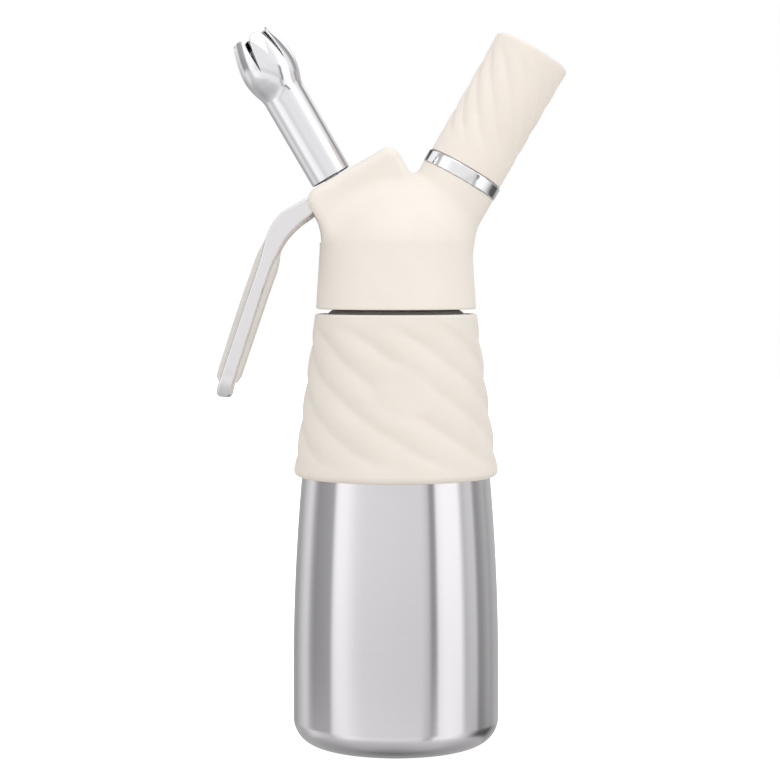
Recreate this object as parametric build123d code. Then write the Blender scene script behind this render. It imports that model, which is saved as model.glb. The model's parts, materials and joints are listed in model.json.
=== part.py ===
from build123d import *
import math
import os

# Whipped cream dispenser for half a litre. Millimetres, +Z up, origin at the centre of the flat
# base. -Y is the front, +X the side of the gas charger, -X the side of the lever.
#
# Two arms rise from the head in a V. Each arm has a frame of its own, with its origin where the
# arm's axis meets the bottle's axis: local Z runs outwards along the arm, local Y is the
# dispenser's Y, and local X points to the dispenser's right.

# Bottle
BOTTLE_RADIUS = 40.1
BOTTLE_WALL = 1.2
BASE_CORNER_RADIUS = 10.0
BELLY_TOP = 27.0
SIDE_CURVE_RADIUS = 870.0
SHOULDER_START = 162.12
SHOULDER_RADIUS = 9.75
NECK_RADIUS = 23.7
NECK_STEP = 0.3
NECK_WALL = 1.5
NECK_LENGTH = 15.7

# Sleeve round the bottle's upper half
SLEEVE_GAP = 1.85
SLEEVE_LENGTH = 63.05
SLEEVE_BOTTOM_THICKNESS = 3.35
SLEEVE_TOP_THICKNESS = 2.5
SLEEVE_FIT = 0.05
SLEEVE_ROUNDING = 2.3

# Head
SKIRT_RADIUS = 31.06
SKIRT_TOP_RADIUS = 29.4
SKIRT_HEIGHT = 26.0
DOME_TOP_RADIUS = 14.0
DOME_HEIGHT = 20.2
DOME_BULGE = 3.0
THREAD_CLEARANCE = 0.5
GASKET_THICKNESS = 3.0
GASKET_WIDTH = 4.6
GASKET_CLEARANCE = 0.2

# Arms
ARM_ROOT_RISE = 7.6
ARM_ANGLE = 30.0
ARM_DEPTH = 30.0
ARM_FOOT = 10.0
LEFT_ARM_TOP = 49.3
LEFT_ARM_OUTSIDE = 13.0
LEFT_ARM_INSIDE = 26.6
LEFT_ARM_FLARE = 0.3
LEFT_ARM_FLARE_HEIGHT = 18.3
LEFT_CORNER_ROUNDING = 5.0
APEX_ROUNDING = 5.0
CHEEK_ROUNDING = 3.0
VALLEY_ROUNDING = 3.4
RIGHT_ARM_TOP = 48.65
RIGHT_ARM_RADIUS = 15.4

# Fits
RUNNING_FIT = 0.05
ASSEMBLY_FIT = 0.1
THREAD_FIT = 0.2

# Lever where it lies inside the left arm
SLOT_ROOF = 1.2
SLOT_CLEARANCE = 0.4
LEVER_WIDTH = 15.0
PIVOT_SIDE = 12.5
PIVOT_DROP = 3.5
FORK_GAP = 10.6
FORK_RISE = 1.7
NOSE_DROP = 3.15
NOSE_HALF_LENGTH = 3.9
NOSE_RELIEF = 1.4
EYE_RADIUS = 3.6
PIN_RADIUS = 1.5
PIN_BLIND_WALL = 4.5

# Lever outside the head: sizes along the handle, and places measured from the pivot
HANDLE_TURN = 41.7
HANDLE_LENGTH = 45.9
HANDLE_THICKNESS = 10.0
HANDLE_INNER_LENGTH = 42.0
TIP_LENGTH = 9.9
# Points of the tip's outline: share of its length, and of the handle's thickness from the outer face
TIP_MIDDLE = (0.5, 0.08)
TIP_OUTER = (0.9, 0.32)
TIP_END = (1.0, 0.58)
TIP_INNER = (0.8, 0.79)
GRIP_ABOVE_HANDLE = 7.0
GRIP_LENGTH = 56.8
OUTER_GRIP_THICKNESS = 2.7
INNER_GRIP_THICKNESS = 2.3
HANDLE_START = (-53.4, -6.0)
BEND_OUTER_START = (-35.9, 3.5)
BEND_OUTER_MIDDLE = (-43.6, 0.6)
BEND_INNER_MIDDLE = (-38.9, -7.5)
BEND_INNER_END = (-28.6, -5.0)
ROOT_INNER = (-22.1, -2.7)
FORK_RELIEF = (-18.9, -0.7)
SLOT_FOOT = (-27.7, -13.9)
SLOT_KNEE = (-23.2, -11.0)

# Valve, in the left arm's frame
VALVE_SEAT = 21.0
VALVE_INLET_RADIUS = 6.4
BUSH_RADIUS = 7.4
BUSH_LENGTH = 9.2
BUSH_CHAMBER_RADIUS = 4.2
BUSH_CHAMBER_DEPTH = 3.6
BUSH_SEAL_THICKNESS = 0.8
BUSH_SEAL_WIDTH = 1.6
RING_GROOVE_RISE = 1.8
STEM_RADIUS = 3.0
STEM_BORE = 2.0
STEM_NECK_RADIUS = 2.7
STEM_RING_THICKNESS = 1.3
POPPET_RADIUS = 4.6
POPPET_THICKNESS = 1.4
POPPET_SEAL_RADIUS = 5.0
POPPET_SEAL_THICKNESS = 1.6
CROSS_HOLE = 2.6
COLLAR_RADIUS = 6.6
COLLAR_THICKNESS = 2.0
COLLAR_GAP = 0.15
SPRING_RADIUS = 5.0
SPRING_WIRE = 0.8
SPRING_TURNS = 4.0
ADAPTOR_WALL = 4.1
ADAPTOR_LENGTH = 9.0
ADAPTOR_SINK = 0.5

# Nozzle, in the left arm's frame
NOZZLE_TUBE_RADIUS = 8.15
NOZZLE_TUBE_TOP_RADIUS = 8.4
NOZZLE_WALL = 1.0
NOZZLE_STAND = 0.8
NOZZLE_TUBE_LENGTH = 36.9
NOZZLE_LENGTH = 62.0
NOZZLE_CLEARANCE = 0.5
NOZZLE_STEP_LENGTH = 2.0
NOZZLE_GASKET_THICKNESS = 1.0
TULIP_RADIUS = 10.9
TULIP_MOUTH_RADIUS = 7.7
TULIP_BULGE_HEIGHT = 11.0
TULIP_SHOULDER_SHARE = 0.4
TULIP_MOUTH_SLOPE = -0.45
PETALS = 6
PETAL_SLOT_LENGTH = 13.2
PETAL_SLOT_WIDTH = 2.4
PETAL_TURN = -19.3

# Charger side, in the right arm's frame
CHARGER_BORE = 9.3
CHARGER_NECK_BORE = 4.9
CHARGER_NECK_DEPTH = 10.0
CHARGER_SHOULDER_DEPTH = 7.0
NIPPLE_WALL = 1.7
NIPPLE_DEPTH = 14.65
NIPPLE_FLOOR = 3.0
NIPPLE_THREAD = 8.3
PIERCING_PIN_RADIUS = 2.0
PIERCING_PIN_LENGTH = 7.0
PIERCING_TIP = 2.2
PIERCING_TIP_RADIUS = 0.8
PIERCING_BORE = 0.5
CHARGER_SEAL_THICKNESS = 1.5
GAS_BORE = 1.5
CHECK_CHAMBER_RADIUS = 4.4
CHECK_CHAMBER_DEPTH = 5.0
CHECK_VALVE_THICKNESS = 2.2
CHECK_SLIT = 0.2
CHECK_RETAINER_THICKNESS = 1.6
RING_LIP = 0.3
RING_HEIGHT = 5.05
RING_CHAMFER = 0.3
HOLDER_GAP = 0.25
HOLDER_LENGTH = 52.5
HOLDER_END_ROUNDING = 1.8
HOLDER_END_WALL = 1.4
GRIP_BOTTOM_THICKNESS = 2.15
GRIP_TOP_THICKNESS = 2.4
CUP_WALL = 3.7
CUP_END_WALL = 1.1
CUP_THREAD_SPARE = 2.0
CUP_VENT = 1.0
CUP_VENT_DROP = 6.0

# How far a cutting shape runs past the surface that it opens
CUT_MARGIN = 1.0


def bottle_radius_at(height):
    """Outer radius of the bottle's side above its belly."""
    rise = height - BELLY_TOP
    return BOTTLE_RADIUS - SIDE_CURVE_RADIUS + math.sqrt(SIDE_CURVE_RADIUS ** 2 - rise ** 2)


# The shoulder's arc leaves the side's arc without a corner and ends at the neck.
SIDE_TURN = math.asin((SHOULDER_START - BELLY_TOP) / SIDE_CURVE_RADIUS)
SHOULDER_X = bottle_radius_at(SHOULDER_START) - SHOULDER_RADIUS * math.cos(SIDE_TURN)
SHOULDER_Z = SHOULDER_START - SHOULDER_RADIUS * math.sin(SIDE_TURN)
SHOULDER_TURN = math.acos((NECK_RADIUS + NECK_STEP - SHOULDER_X) / SHOULDER_RADIUS)

# Places worked out from the sizes above
NECK_BOTTOM = SHOULDER_Z + SHOULDER_RADIUS * math.sin(SHOULDER_TURN)
LIP_HEIGHT = NECK_BOTTOM + NECK_LENGTH
HEAD_BOTTOM = NECK_BOTTOM
HEAD_BORE = NECK_RADIUS + THREAD_CLEARANCE
CEILING_HEIGHT = LIP_HEIGHT + GASKET_THICKNESS
SLEEVE_TOP = HEAD_BOTTOM - SLEEVE_GAP
SLEEVE_BOTTOM = SLEEVE_TOP - SLEEVE_LENGTH
ARM_ROOT_HEIGHT = HEAD_BOTTOM + ARM_ROOT_RISE
SLOT_TOP = LEFT_ARM_TOP - SLOT_ROOF
SLOT_HALF_WIDTH = LEVER_WIDTH / 2 + SLOT_CLEARANCE
LEVER_ROOT_TOP = SLOT_TOP - SLOT_CLEARANCE
PIVOT_HEIGHT = LEVER_ROOT_TOP - PIVOT_DROP
COLLAR_TOP = PIVOT_HEIGHT - NOSE_DROP - COLLAR_GAP
COLLAR_BOTTOM = COLLAR_TOP - COLLAR_THICKNESS
BUSH_BOTTOM = VALVE_SEAT + BUSH_SEAL_THICKNESS
BUSH_TOP = BUSH_BOTTOM + BUSH_LENGTH
POPPET_TOP = BUSH_BOTTOM - POPPET_SEAL_THICKNESS
POPPET_BOTTOM = POPPET_TOP - POPPET_THICKNESS
NOZZLE_BOTTOM = LEFT_ARM_TOP + NOZZLE_STAND
NOZZLE_TUBE_TOP = NOZZLE_BOTTOM + NOZZLE_TUBE_LENGTH
NOZZLE_MOUTH = NOZZLE_BOTTOM + NOZZLE_LENGTH
ADAPTOR_RADIUS = STEM_NECK_RADIUS + ADAPTOR_WALL
ADAPTOR_BOTTOM = NOZZLE_BOTTOM + ADAPTOR_SINK
ADAPTOR_TOP = ADAPTOR_BOTTOM + ADAPTOR_LENGTH
NIPPLE_RADIUS = CHARGER_BORE + NIPPLE_WALL
NIPPLE_BOTTOM = RIGHT_ARM_TOP - NIPPLE_DEPTH
NIPPLE_FLOOR_TOP = NIPPLE_BOTTOM + NIPPLE_FLOOR
RING_TOP = RIGHT_ARM_TOP + RING_HEIGHT
NIPPLE_TOP = RING_TOP + NIPPLE_THREAD
HOLDER_BOTTOM = RING_TOP + HOLDER_GAP
HOLDER_TOP = HOLDER_BOTTOM + HOLDER_LENGTH
CUP_RADIUS = CHARGER_BORE + CUP_WALL
CUP_TOP = HOLDER_TOP - HOLDER_END_WALL
CUP_THREAD_TOP = NIPPLE_TOP + CUP_THREAD_SPARE


def arm_plane(side):
    """Frame of an arm: side is -1 for the left one and +1 for the right one."""
    sine = side * math.sin(math.radians(ARM_ANGLE))
    cosine = math.cos(math.radians(ARM_ANGLE))
    return Plane(origin=(0, 0, ARM_ROOT_HEIGHT), x_dir=(cosine, 0, -sine), z_dir=(sine, 0, cosine))


LEFT_ARM = arm_plane(-1)
RIGHT_ARM = arm_plane(1)


def turned(*outline):
    """Solid of revolution about local Z, from (radius, height) points."""
    return revolve(Plane.XZ * make_face(Polyline(*outline, close=True)), Axis.Z)


def tube(outer, inner, bottom, top):
    """Hollow cylinder about local Z, or a solid one where inner is 0."""
    return turned((inner, bottom), (outer, bottom), (outer, top), (inner, top))


def bottle_body(inset):
    """Bottle without its neck, with its surface moved inwards by inset, as a solid."""
    corner = BASE_CORNER_RADIUS - inset
    corner_x = BOTTLE_RADIUS - BASE_CORNER_RADIUS
    corner_slant = corner * math.sqrt(0.5)
    side = SIDE_CURVE_RADIUS - inset
    side_x = BOTTLE_RADIUS - SIDE_CURVE_RADIUS
    shoulder = SHOULDER_RADIUS - inset

    def side_point(turn):
        return (side_x + side * math.cos(turn), BELLY_TOP + side * math.sin(turn))

    def shoulder_point(turn):
        return (SHOULDER_X + shoulder * math.cos(turn), SHOULDER_Z + shoulder * math.sin(turn))

    base_edge = (corner_x, inset)
    belly_bottom = (corner_x + corner, BASE_CORNER_RADIUS)
    corner_middle = (corner_x + corner_slant, BASE_CORNER_RADIUS - corner_slant)
    neck_root = shoulder_point(SHOULDER_TURN)
    lines = [
        Line((0, inset), base_edge),
        ThreePointArc(base_edge, corner_middle, belly_bottom),
        Line(belly_bottom, side_point(0)),
        ThreePointArc(side_point(0), side_point(SIDE_TURN / 2), side_point(SIDE_TURN)),
        ThreePointArc(side_point(SIDE_TURN), shoulder_point((SIDE_TURN + SHOULDER_TURN) / 2), neck_root),
        Line(neck_root, (0, neck_root[1])),
        Line((0, neck_root[1]), (0, inset)),
    ]
    return revolve(Plane.XZ * make_face(lines), Axis.Z)


def bottle_shell():
    """Drawn steel bottle, open at its neck."""
    neck_inside = NECK_RADIUS - NECK_WALL
    outside = bottle_body(0) + tube(NECK_RADIUS, 0, SHOULDER_START, LIP_HEIGHT)
    inside = bottle_body(BOTTLE_WALL) + tube(neck_inside, 0, SHOULDER_START, LIP_HEIGHT + CUT_MARGIN)
    return outside - inside


def bottle_sleeve():
    """Soft sleeve that follows the bottle's taper."""
    bottom_radius = bottle_radius_at(SLEEVE_BOTTOM) + SLEEVE_BOTTOM_THICKNESS
    top_radius = bottle_radius_at(SLEEVE_TOP) + SLEEVE_TOP_THICKNESS
    mouth = bottle_radius_at(SHOULDER_START) + SLEEVE_FIT
    outside = turned((0, SLEEVE_BOTTOM), (bottom_radius, SLEEVE_BOTTOM),
                     (top_radius, SLEEVE_TOP), (0, SLEEVE_TOP))
    bottom_edge = outside.edges().filter_by(GeomType.CIRCLE).sort_by(Axis.Z)[0]
    outside = fillet(bottom_edge, SLEEVE_ROUNDING)
    return outside - bottle_body(-SLEEVE_FIT) - tube(mouth, 0, SHOULDER_START, SLEEVE_TOP + CUT_MARGIN)


def head_skirt():
    """Round lower part of the head, with a shoulder that leans in to the arms."""
    skirt_top = HEAD_BOTTOM + SKIRT_HEIGHT
    dome_top = skirt_top + DOME_HEIGHT
    run = SKIRT_TOP_RADIUS - DOME_TOP_RADIUS
    slope_length = math.hypot(run, DOME_HEIGHT)
    middle_x = (SKIRT_TOP_RADIUS + DOME_TOP_RADIUS) / 2 + DOME_BULGE * DOME_HEIGHT / slope_length
    middle_z = (skirt_top + dome_top) / 2 + DOME_BULGE * run / slope_length
    lines = [
        Line((0, HEAD_BOTTOM), (SKIRT_RADIUS, HEAD_BOTTOM)),
        Line((SKIRT_RADIUS, HEAD_BOTTOM), (SKIRT_TOP_RADIUS, skirt_top)),
        ThreePointArc((SKIRT_TOP_RADIUS, skirt_top), (middle_x, middle_z), (DOME_TOP_RADIUS, dome_top)),
        Line((DOME_TOP_RADIUS, dome_top), (0, dome_top)),
        Line((0, dome_top), (0, HEAD_BOTTOM)),
    ]
    return revolve(Plane.XZ * make_face(lines), Axis.Z)


def left_block():
    """Flat-cheeked left arm, in its own frame."""
    outline = Polyline(
        (-LEFT_ARM_OUTSIDE, LEFT_ARM_TOP),
        (LEFT_ARM_INSIDE, LEFT_ARM_TOP),
        (LEFT_ARM_INSIDE, ARM_FOOT),
        (0, ARM_FOOT),
        (-LEFT_ARM_OUTSIDE - LEFT_ARM_FLARE, LEFT_ARM_TOP - LEFT_ARM_FLARE_HEIGHT),
        close=True,
    )
    block = extrude(Plane.XZ * make_face(outline), ARM_DEPTH / 2, both=True)
    apex = block.edges().filter_by(Axis.Y).sort_by(Axis.Z)[-2:].sort_by(Axis.X)[-1]
    block = fillet(apex, APEX_ROUNDING)
    corner = block.edges().filter_by(Axis.Y).sort_by(Axis.Z)[-2:].sort_by(Axis.X)[0]
    block = fillet(corner, LEFT_CORNER_ROUNDING)
    rim = block.faces().sort_by(Axis.Z)[-1].edges().filter_by(Axis.X)
    return fillet(rim, CHEEK_ROUNDING)


def lever_frame():
    """Frame with its origin at the lever's pivot and the directions of the left arm's frame."""
    return LEFT_ARM * Pos(PIVOT_SIDE, 0, PIVOT_HEIGHT)


def lever_slot():
    """Space in the left arm for the lever over its whole travel, from the pivot."""
    eye_space = EYE_RADIUS + SLOT_CLEARANCE
    roof = SLOT_TOP - PIVOT_HEIGHT
    outside = SLOT_FOOT[0] - 2 * LEFT_ARM_OUTSIDE
    outline = Polyline(
        (eye_space, roof),
        (outside, roof),
        (outside, SLOT_FOOT[1]),
        SLOT_FOOT,
        SLOT_KNEE,
        (-eye_space, -EYE_RADIUS - 2 * SLOT_CLEARANCE),
        (eye_space, -eye_space),
        close=True,
    )
    return extrude(Plane.XZ * make_face(outline), SLOT_HALF_WIDTH, both=True)


def valve_bores():
    """Bores of the left arm, in its own frame."""
    bush_bore = BUSH_RADIUS + ASSEMBLY_FIT
    nozzle_bore = NOZZLE_TUBE_RADIUS + NOZZLE_CLEARANCE
    return (tube(bush_bore, 0, VALVE_SEAT, LEFT_ARM_TOP + CUT_MARGIN)
            + tube(VALVE_INLET_RADIUS, 0, 0, VALVE_SEAT)
            + tube(nozzle_bore, 0, COLLAR_TOP, LEFT_ARM_TOP + CUT_MARGIN))


def charger_bores():
    """Bores of the right arm, in its own frame."""
    nipple_bore = NIPPLE_RADIUS + RUNNING_FIT
    return (tube(nipple_bore, 0, NIPPLE_BOTTOM, RIGHT_ARM_TOP + CUT_MARGIN)
            + tube(CHECK_CHAMBER_RADIUS, 0, NIPPLE_BOTTOM - CHECK_CHAMBER_DEPTH, NIPPLE_BOTTOM)
            + tube(GAS_BORE, 0, 0, NIPPLE_BOTTOM))


def pivot_cylinder(radius, front, back):
    """Cylinder on the lever's pivot between two values of Y."""
    across = Plane(origin=(0, front, 0), z_dir=(0, 1, 0))
    return lever_frame() * (across * tube(radius, 0, 0, back - front))


def head_body():
    """Cast head with its two arms, neck bore, lever slot and passages."""
    right_arm = tube(RIGHT_ARM_RADIUS, 0, ARM_FOOT, RIGHT_ARM_TOP)
    body = head_skirt() + LEFT_ARM * left_block() + RIGHT_ARM * right_arm
    middle_edges = body.edges().filter_by(GeomType.ELLIPSE).filter_by(lambda edge: abs(edge.center().Y) < 1)
    body = fillet(middle_edges.sort_by(Axis.Z)[-1], VALLEY_ROUNDING)
    neck_bore = tube(HEAD_BORE, 0, HEAD_BOTTOM - CUT_MARGIN, CEILING_HEIGHT)
    pin_front = -ARM_DEPTH / 2 + PIN_BLIND_WALL
    pin_hole = pivot_cylinder(PIN_RADIUS + RUNNING_FIT, pin_front, ARM_DEPTH / 2 + CUT_MARGIN)
    body = body - neck_bore - LEFT_ARM * valve_bores() - RIGHT_ARM * charger_bores()
    return body - lever_frame() * lever_slot() - pin_hole


def head_gasket():
    """Flat ring between the bottle's lip and the head."""
    outer = HEAD_BORE - GASKET_CLEARANCE
    return tube(outer, outer - GASKET_WIDTH, LIP_HEIGHT, CEILING_HEIGHT)


def bush_seal():
    """Flat ring under the valve bush."""
    return LEFT_ARM * tube(BUSH_RADIUS, BUSH_RADIUS - BUSH_SEAL_WIDTH, VALVE_SEAT, BUSH_BOTTOM)


def ring_groove_bottom():
    """Lower edge of the bush's groove for the stem's ring."""
    return BUSH_BOTTOM + BUSH_CHAMBER_DEPTH + RING_GROOVE_RISE


def valve_bush():
    """Screwed-in bush that guides the stem; its lower face is the valve's seat."""
    guide = STEM_RADIUS + RUNNING_FIT
    groove = guide + STEM_RING_THICKNESS + ASSEMBLY_FIT
    groove_top = ring_groove_bottom() + STEM_RING_THICKNESS + 2 * ASSEMBLY_FIT
    body = tube(BUSH_RADIUS, guide, BUSH_BOTTOM, BUSH_TOP)
    body -= tube(BUSH_CHAMBER_RADIUS, 0, BUSH_BOTTOM, BUSH_BOTTOM + BUSH_CHAMBER_DEPTH)
    return LEFT_ARM * (body - tube(groove, 0, ring_groove_bottom(), groove_top))


def stem_seal():
    """Round ring in the bush's groove, about the stem."""
    middle = ring_groove_bottom() + STEM_RING_THICKNESS / 2 + ASSEMBLY_FIT
    ring = Torus(STEM_RADIUS + RUNNING_FIT + STEM_RING_THICKNESS / 2, STEM_RING_THICKNESS / 2)
    return LEFT_ARM * (Pos(0, 0, middle) * ring)


def valve_stem():
    """Hollow stem with a poppet below and a neck for the adaptor above."""
    body = turned((0, POPPET_BOTTOM), (POPPET_RADIUS, POPPET_BOTTOM), (POPPET_RADIUS, POPPET_TOP),
                  (STEM_RADIUS, POPPET_TOP), (STEM_RADIUS, ADAPTOR_BOTTOM),
                  (STEM_NECK_RADIUS, ADAPTOR_BOTTOM), (STEM_NECK_RADIUS, ADAPTOR_TOP), (0, ADAPTOR_TOP))
    body -= tube(STEM_BORE, 0, BUSH_BOTTOM, ADAPTOR_TOP)
    across = Plane(origin=(-2 * STEM_RADIUS, 0, BUSH_BOTTOM + BUSH_CHAMBER_DEPTH / 2), z_dir=(1, 0, 0))
    return LEFT_ARM * (body - across * tube(CROSS_HOLE / 2, 0, 0, 4 * STEM_RADIUS))


def poppet_seal():
    """Ring on the poppet that closes against the bush."""
    return LEFT_ARM * tube(POPPET_SEAL_RADIUS, STEM_RADIUS, POPPET_TOP, BUSH_BOTTOM)


def stem_collar():
    """Nut on the stem between the spring and the lever's fork."""
    return LEFT_ARM * tube(COLLAR_RADIUS, STEM_RADIUS, COLLAR_BOTTOM, COLLAR_TOP)


def valve_spring():
    """Compression spring between the bush and the collar."""
    height = COLLAR_BOTTOM - BUSH_TOP - SPRING_WIRE
    coil = Helix(pitch=height / SPRING_TURNS, height=height, radius=SPRING_RADIUS)
    start = Plane(origin=coil @ 0, z_dir=coil % 0)
    wire = sweep(start * Circle(SPRING_WIRE / 2), path=coil, is_frenet=True)
    return LEFT_ARM * (Pos(0, 0, BUSH_TOP + SPRING_WIRE / 2) * wire)


def nozzle_adaptor():
    """Sleeve on the stem's neck that carries the nozzle's thread."""
    return LEFT_ARM * tube(ADAPTOR_RADIUS, STEM_NECK_RADIUS, ADAPTOR_BOTTOM, ADAPTOR_TOP)


def nozzle_gasket():
    """Ring between the adaptor and the nozzle's inner step."""
    gasket_top = ADAPTOR_TOP + NOZZLE_GASKET_THICKNESS
    return LEFT_ARM * tube(ADAPTOR_RADIUS, STEM_RADIUS, ADAPTOR_TOP, gasket_top)


def tulip_body(inset):
    """Upper part of the nozzle as a solid, with its surface moved inwards by inset."""
    bulge = NOZZLE_TUBE_TOP + TULIP_BULGE_HEIGHT
    shoulder_radius = (NOZZLE_TUBE_TOP_RADIUS + TULIP_RADIUS) / 2
    petal_radius = (TULIP_MOUTH_RADIUS + 3 * TULIP_RADIUS) / 4
    flare = Spline(
        (NOZZLE_TUBE_TOP_RADIUS - inset, NOZZLE_TUBE_TOP),
        (shoulder_radius - inset, NOZZLE_TUBE_TOP + TULIP_SHOULDER_SHARE * TULIP_BULGE_HEIGHT),
        (TULIP_RADIUS - inset, bulge),
        (petal_radius - inset, (bulge + NOZZLE_MOUTH) / 2),
        (TULIP_MOUTH_RADIUS - inset, NOZZLE_MOUTH),
        tangents=((0, 1), (TULIP_MOUTH_SLOPE, 1)),
    )
    lines = [
        Line((0, NOZZLE_TUBE_TOP), (NOZZLE_TUBE_TOP_RADIUS - inset, NOZZLE_TUBE_TOP)),
        flare,
        Line((TULIP_MOUTH_RADIUS - inset, NOZZLE_MOUTH), (0, NOZZLE_MOUTH)),
        Line((0, NOZZLE_MOUTH), (0, NOZZLE_TUBE_TOP)),
    ]
    return revolve(Plane.XZ * make_face(lines), Axis.Z)


def petal_slot():
    """One V-shaped cut through the front of the tulip's wall."""
    half_width = PETAL_SLOT_WIDTH / 2
    outline = Polyline(
        (0, NOZZLE_MOUTH - PETAL_SLOT_LENGTH),
        (half_width, NOZZLE_MOUTH),
        (half_width, NOZZLE_MOUTH + CUT_MARGIN),
        (-half_width, NOZZLE_MOUTH + CUT_MARGIN),
        (-half_width, NOZZLE_MOUTH),
        close=True,
    )
    return extrude(Plane.XZ * make_face(outline), TULIP_RADIUS + CUT_MARGIN)


def decorator_nozzle():
    """Nozzle with a threaded foot and a tulip of petals."""
    step = ADAPTOR_TOP + NOZZLE_GASKET_THICKNESS
    step_top = step + NOZZLE_STEP_LENGTH
    thread_bore = ADAPTOR_RADIUS + THREAD_FIT
    step_bore = (STEM_RADIUS + ADAPTOR_RADIUS) / 2
    outside = turned((0, NOZZLE_BOTTOM), (NOZZLE_TUBE_RADIUS, NOZZLE_BOTTOM),
                     (NOZZLE_TUBE_TOP_RADIUS, NOZZLE_TUBE_TOP), (0, NOZZLE_TUBE_TOP))
    body = outside + tulip_body(0)
    body -= tube(thread_bore, 0, NOZZLE_BOTTOM - CUT_MARGIN, step)
    body -= tube(step_bore, 0, step, step_top)
    body -= turned((0, step_top), (NOZZLE_TUBE_RADIUS - NOZZLE_WALL, step_top),
                   (NOZZLE_TUBE_TOP_RADIUS - NOZZLE_WALL, NOZZLE_TUBE_TOP), (0, NOZZLE_TUBE_TOP))
    body -= tulip_body(NOZZLE_WALL)
    for petal in range(PETALS):
        body -= Rot(0, 0, PETAL_TURN + petal * 360 / PETALS) * petal_slot()
    return LEFT_ARM * body


def handle_point(along, depth):
    """Place from the pivot of a point given along the handle and inwards from its outer face."""
    turn = math.radians(HANDLE_TURN)
    side = HANDLE_START[0] - along * math.cos(turn) + depth * math.sin(turn)
    return (side, HANDLE_START[1] - along * math.sin(turn) - depth * math.cos(turn))


def tip_point(shares):
    """Place from the pivot of a point of the tip's outline."""
    return handle_point(HANDLE_LENGTH + shares[0] * TIP_LENGTH, shares[1] * HANDLE_THICKNESS)


def lever_face():
    """Side view of the whole lever with its grips, from the pivot."""
    root_top = LEVER_ROOT_TOP - PIVOT_HEIGHT
    fork_end = -PIVOT_SIDE - NOZZLE_TUBE_RADIUS - NOZZLE_CLEARANCE
    nose_bottom = -NOSE_DROP
    nose_edge = nose_bottom + NOSE_RELIEF
    outer_low = handle_point(HANDLE_LENGTH, 0)
    inner_low = handle_point(HANDLE_INNER_LENGTH, HANDLE_THICKNESS)
    inner_top = handle_point(0, HANDLE_THICKNESS)
    tip_middle = tip_point(TIP_MIDDLE)
    tip_outer = tip_point(TIP_OUTER)
    tip_end = tip_point(TIP_END)
    tip_inner = tip_point(TIP_INNER)
    lines = [
        Line((fork_end, root_top), BEND_OUTER_START),
        ThreePointArc(BEND_OUTER_START, BEND_OUTER_MIDDLE, HANDLE_START),
        Line(HANDLE_START, outer_low),
        ThreePointArc(outer_low, tip_middle, tip_outer),
        ThreePointArc(tip_outer, tip_end, tip_inner),
        Line(tip_inner, inner_low),
        Line(inner_low, inner_top),
        ThreePointArc(inner_top, BEND_INNER_MIDDLE, BEND_INNER_END),
        Line(BEND_INNER_END, ROOT_INNER),
        Line(ROOT_INNER, FORK_RELIEF),
        Line(FORK_RELIEF, (-PIVOT_SIDE - NOSE_HALF_LENGTH, nose_edge)),
        ThreePointArc((-PIVOT_SIDE - NOSE_HALF_LENGTH, nose_edge), (-PIVOT_SIDE, nose_bottom),
                      (-PIVOT_SIDE + NOSE_HALF_LENGTH, nose_edge)),
        Line((-PIVOT_SIDE + NOSE_HALF_LENGTH, nose_edge), (0, -EYE_RADIUS)),
        ThreePointArc((0, -EYE_RADIUS), (EYE_RADIUS, 0), (0, EYE_RADIUS)),
        Line((0, EYE_RADIUS), (-EYE_RADIUS, FORK_RISE)),
        Line((-EYE_RADIUS, FORK_RISE), (fork_end, FORK_RISE)),
        Line((fork_end, FORK_RISE), (fork_end, root_top)),
    ]
    return make_face(lines)


def grip_band(depth_from, depth_to):
    """Stretch of the side view along the handle, between two depths from its outer face."""
    corners = [(-GRIP_ABOVE_HANDLE, depth_from), (GRIP_LENGTH - GRIP_ABOVE_HANDLE, depth_from),
               (GRIP_LENGTH - GRIP_ABOVE_HANDLE, depth_to), (-GRIP_ABOVE_HANDLE, depth_to)]
    return make_face(Polyline(*[handle_point(*corner) for corner in corners], close=True))


def outer_grip_band():
    """Stretch of the side view that belongs to the outer grip."""
    return grip_band(-HANDLE_THICKNESS, OUTER_GRIP_THICKNESS)


def inner_grip_band():
    """Stretch of the side view that belongs to the inner grip."""
    return grip_band(HANDLE_THICKNESS - INNER_GRIP_THICKNESS, 2 * HANDLE_THICKNESS)


def across_lever(face):
    """Solid of the lever's width from a side view."""
    return lever_frame() * extrude(Plane.XZ * face, LEVER_WIDTH / 2, both=True)


def lever():
    """Metal lever that forks round the stem and turns on its pin."""
    body = across_lever(lever_face() - outer_grip_band() - inner_grip_band())
    gap_length = 2 * (PIVOT_SIDE + NOZZLE_TUBE_RADIUS)
    gap = Box(gap_length, FORK_GAP, 4 * EYE_RADIUS)
    body -= lever_frame() * gap
    return body - pivot_cylinder(PIN_RADIUS + RUNNING_FIT, -LEVER_WIDTH, LEVER_WIDTH)


def lever_grip_outer():
    """Soft band on the side of the lever that the fingers pull."""
    return across_lever(lever_face() & outer_grip_band())


def lever_grip_inner():
    """Soft band on the side of the lever that faces the bottle."""
    return across_lever(lever_face() & inner_grip_band())


def lever_pin():
    """Pin that the lever turns on."""
    return pivot_cylinder(PIN_RADIUS, -ARM_DEPTH / 2 + PIN_BLIND_WALL, ARM_DEPTH / 2 - CHEEK_ROUNDING / 2)


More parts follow.
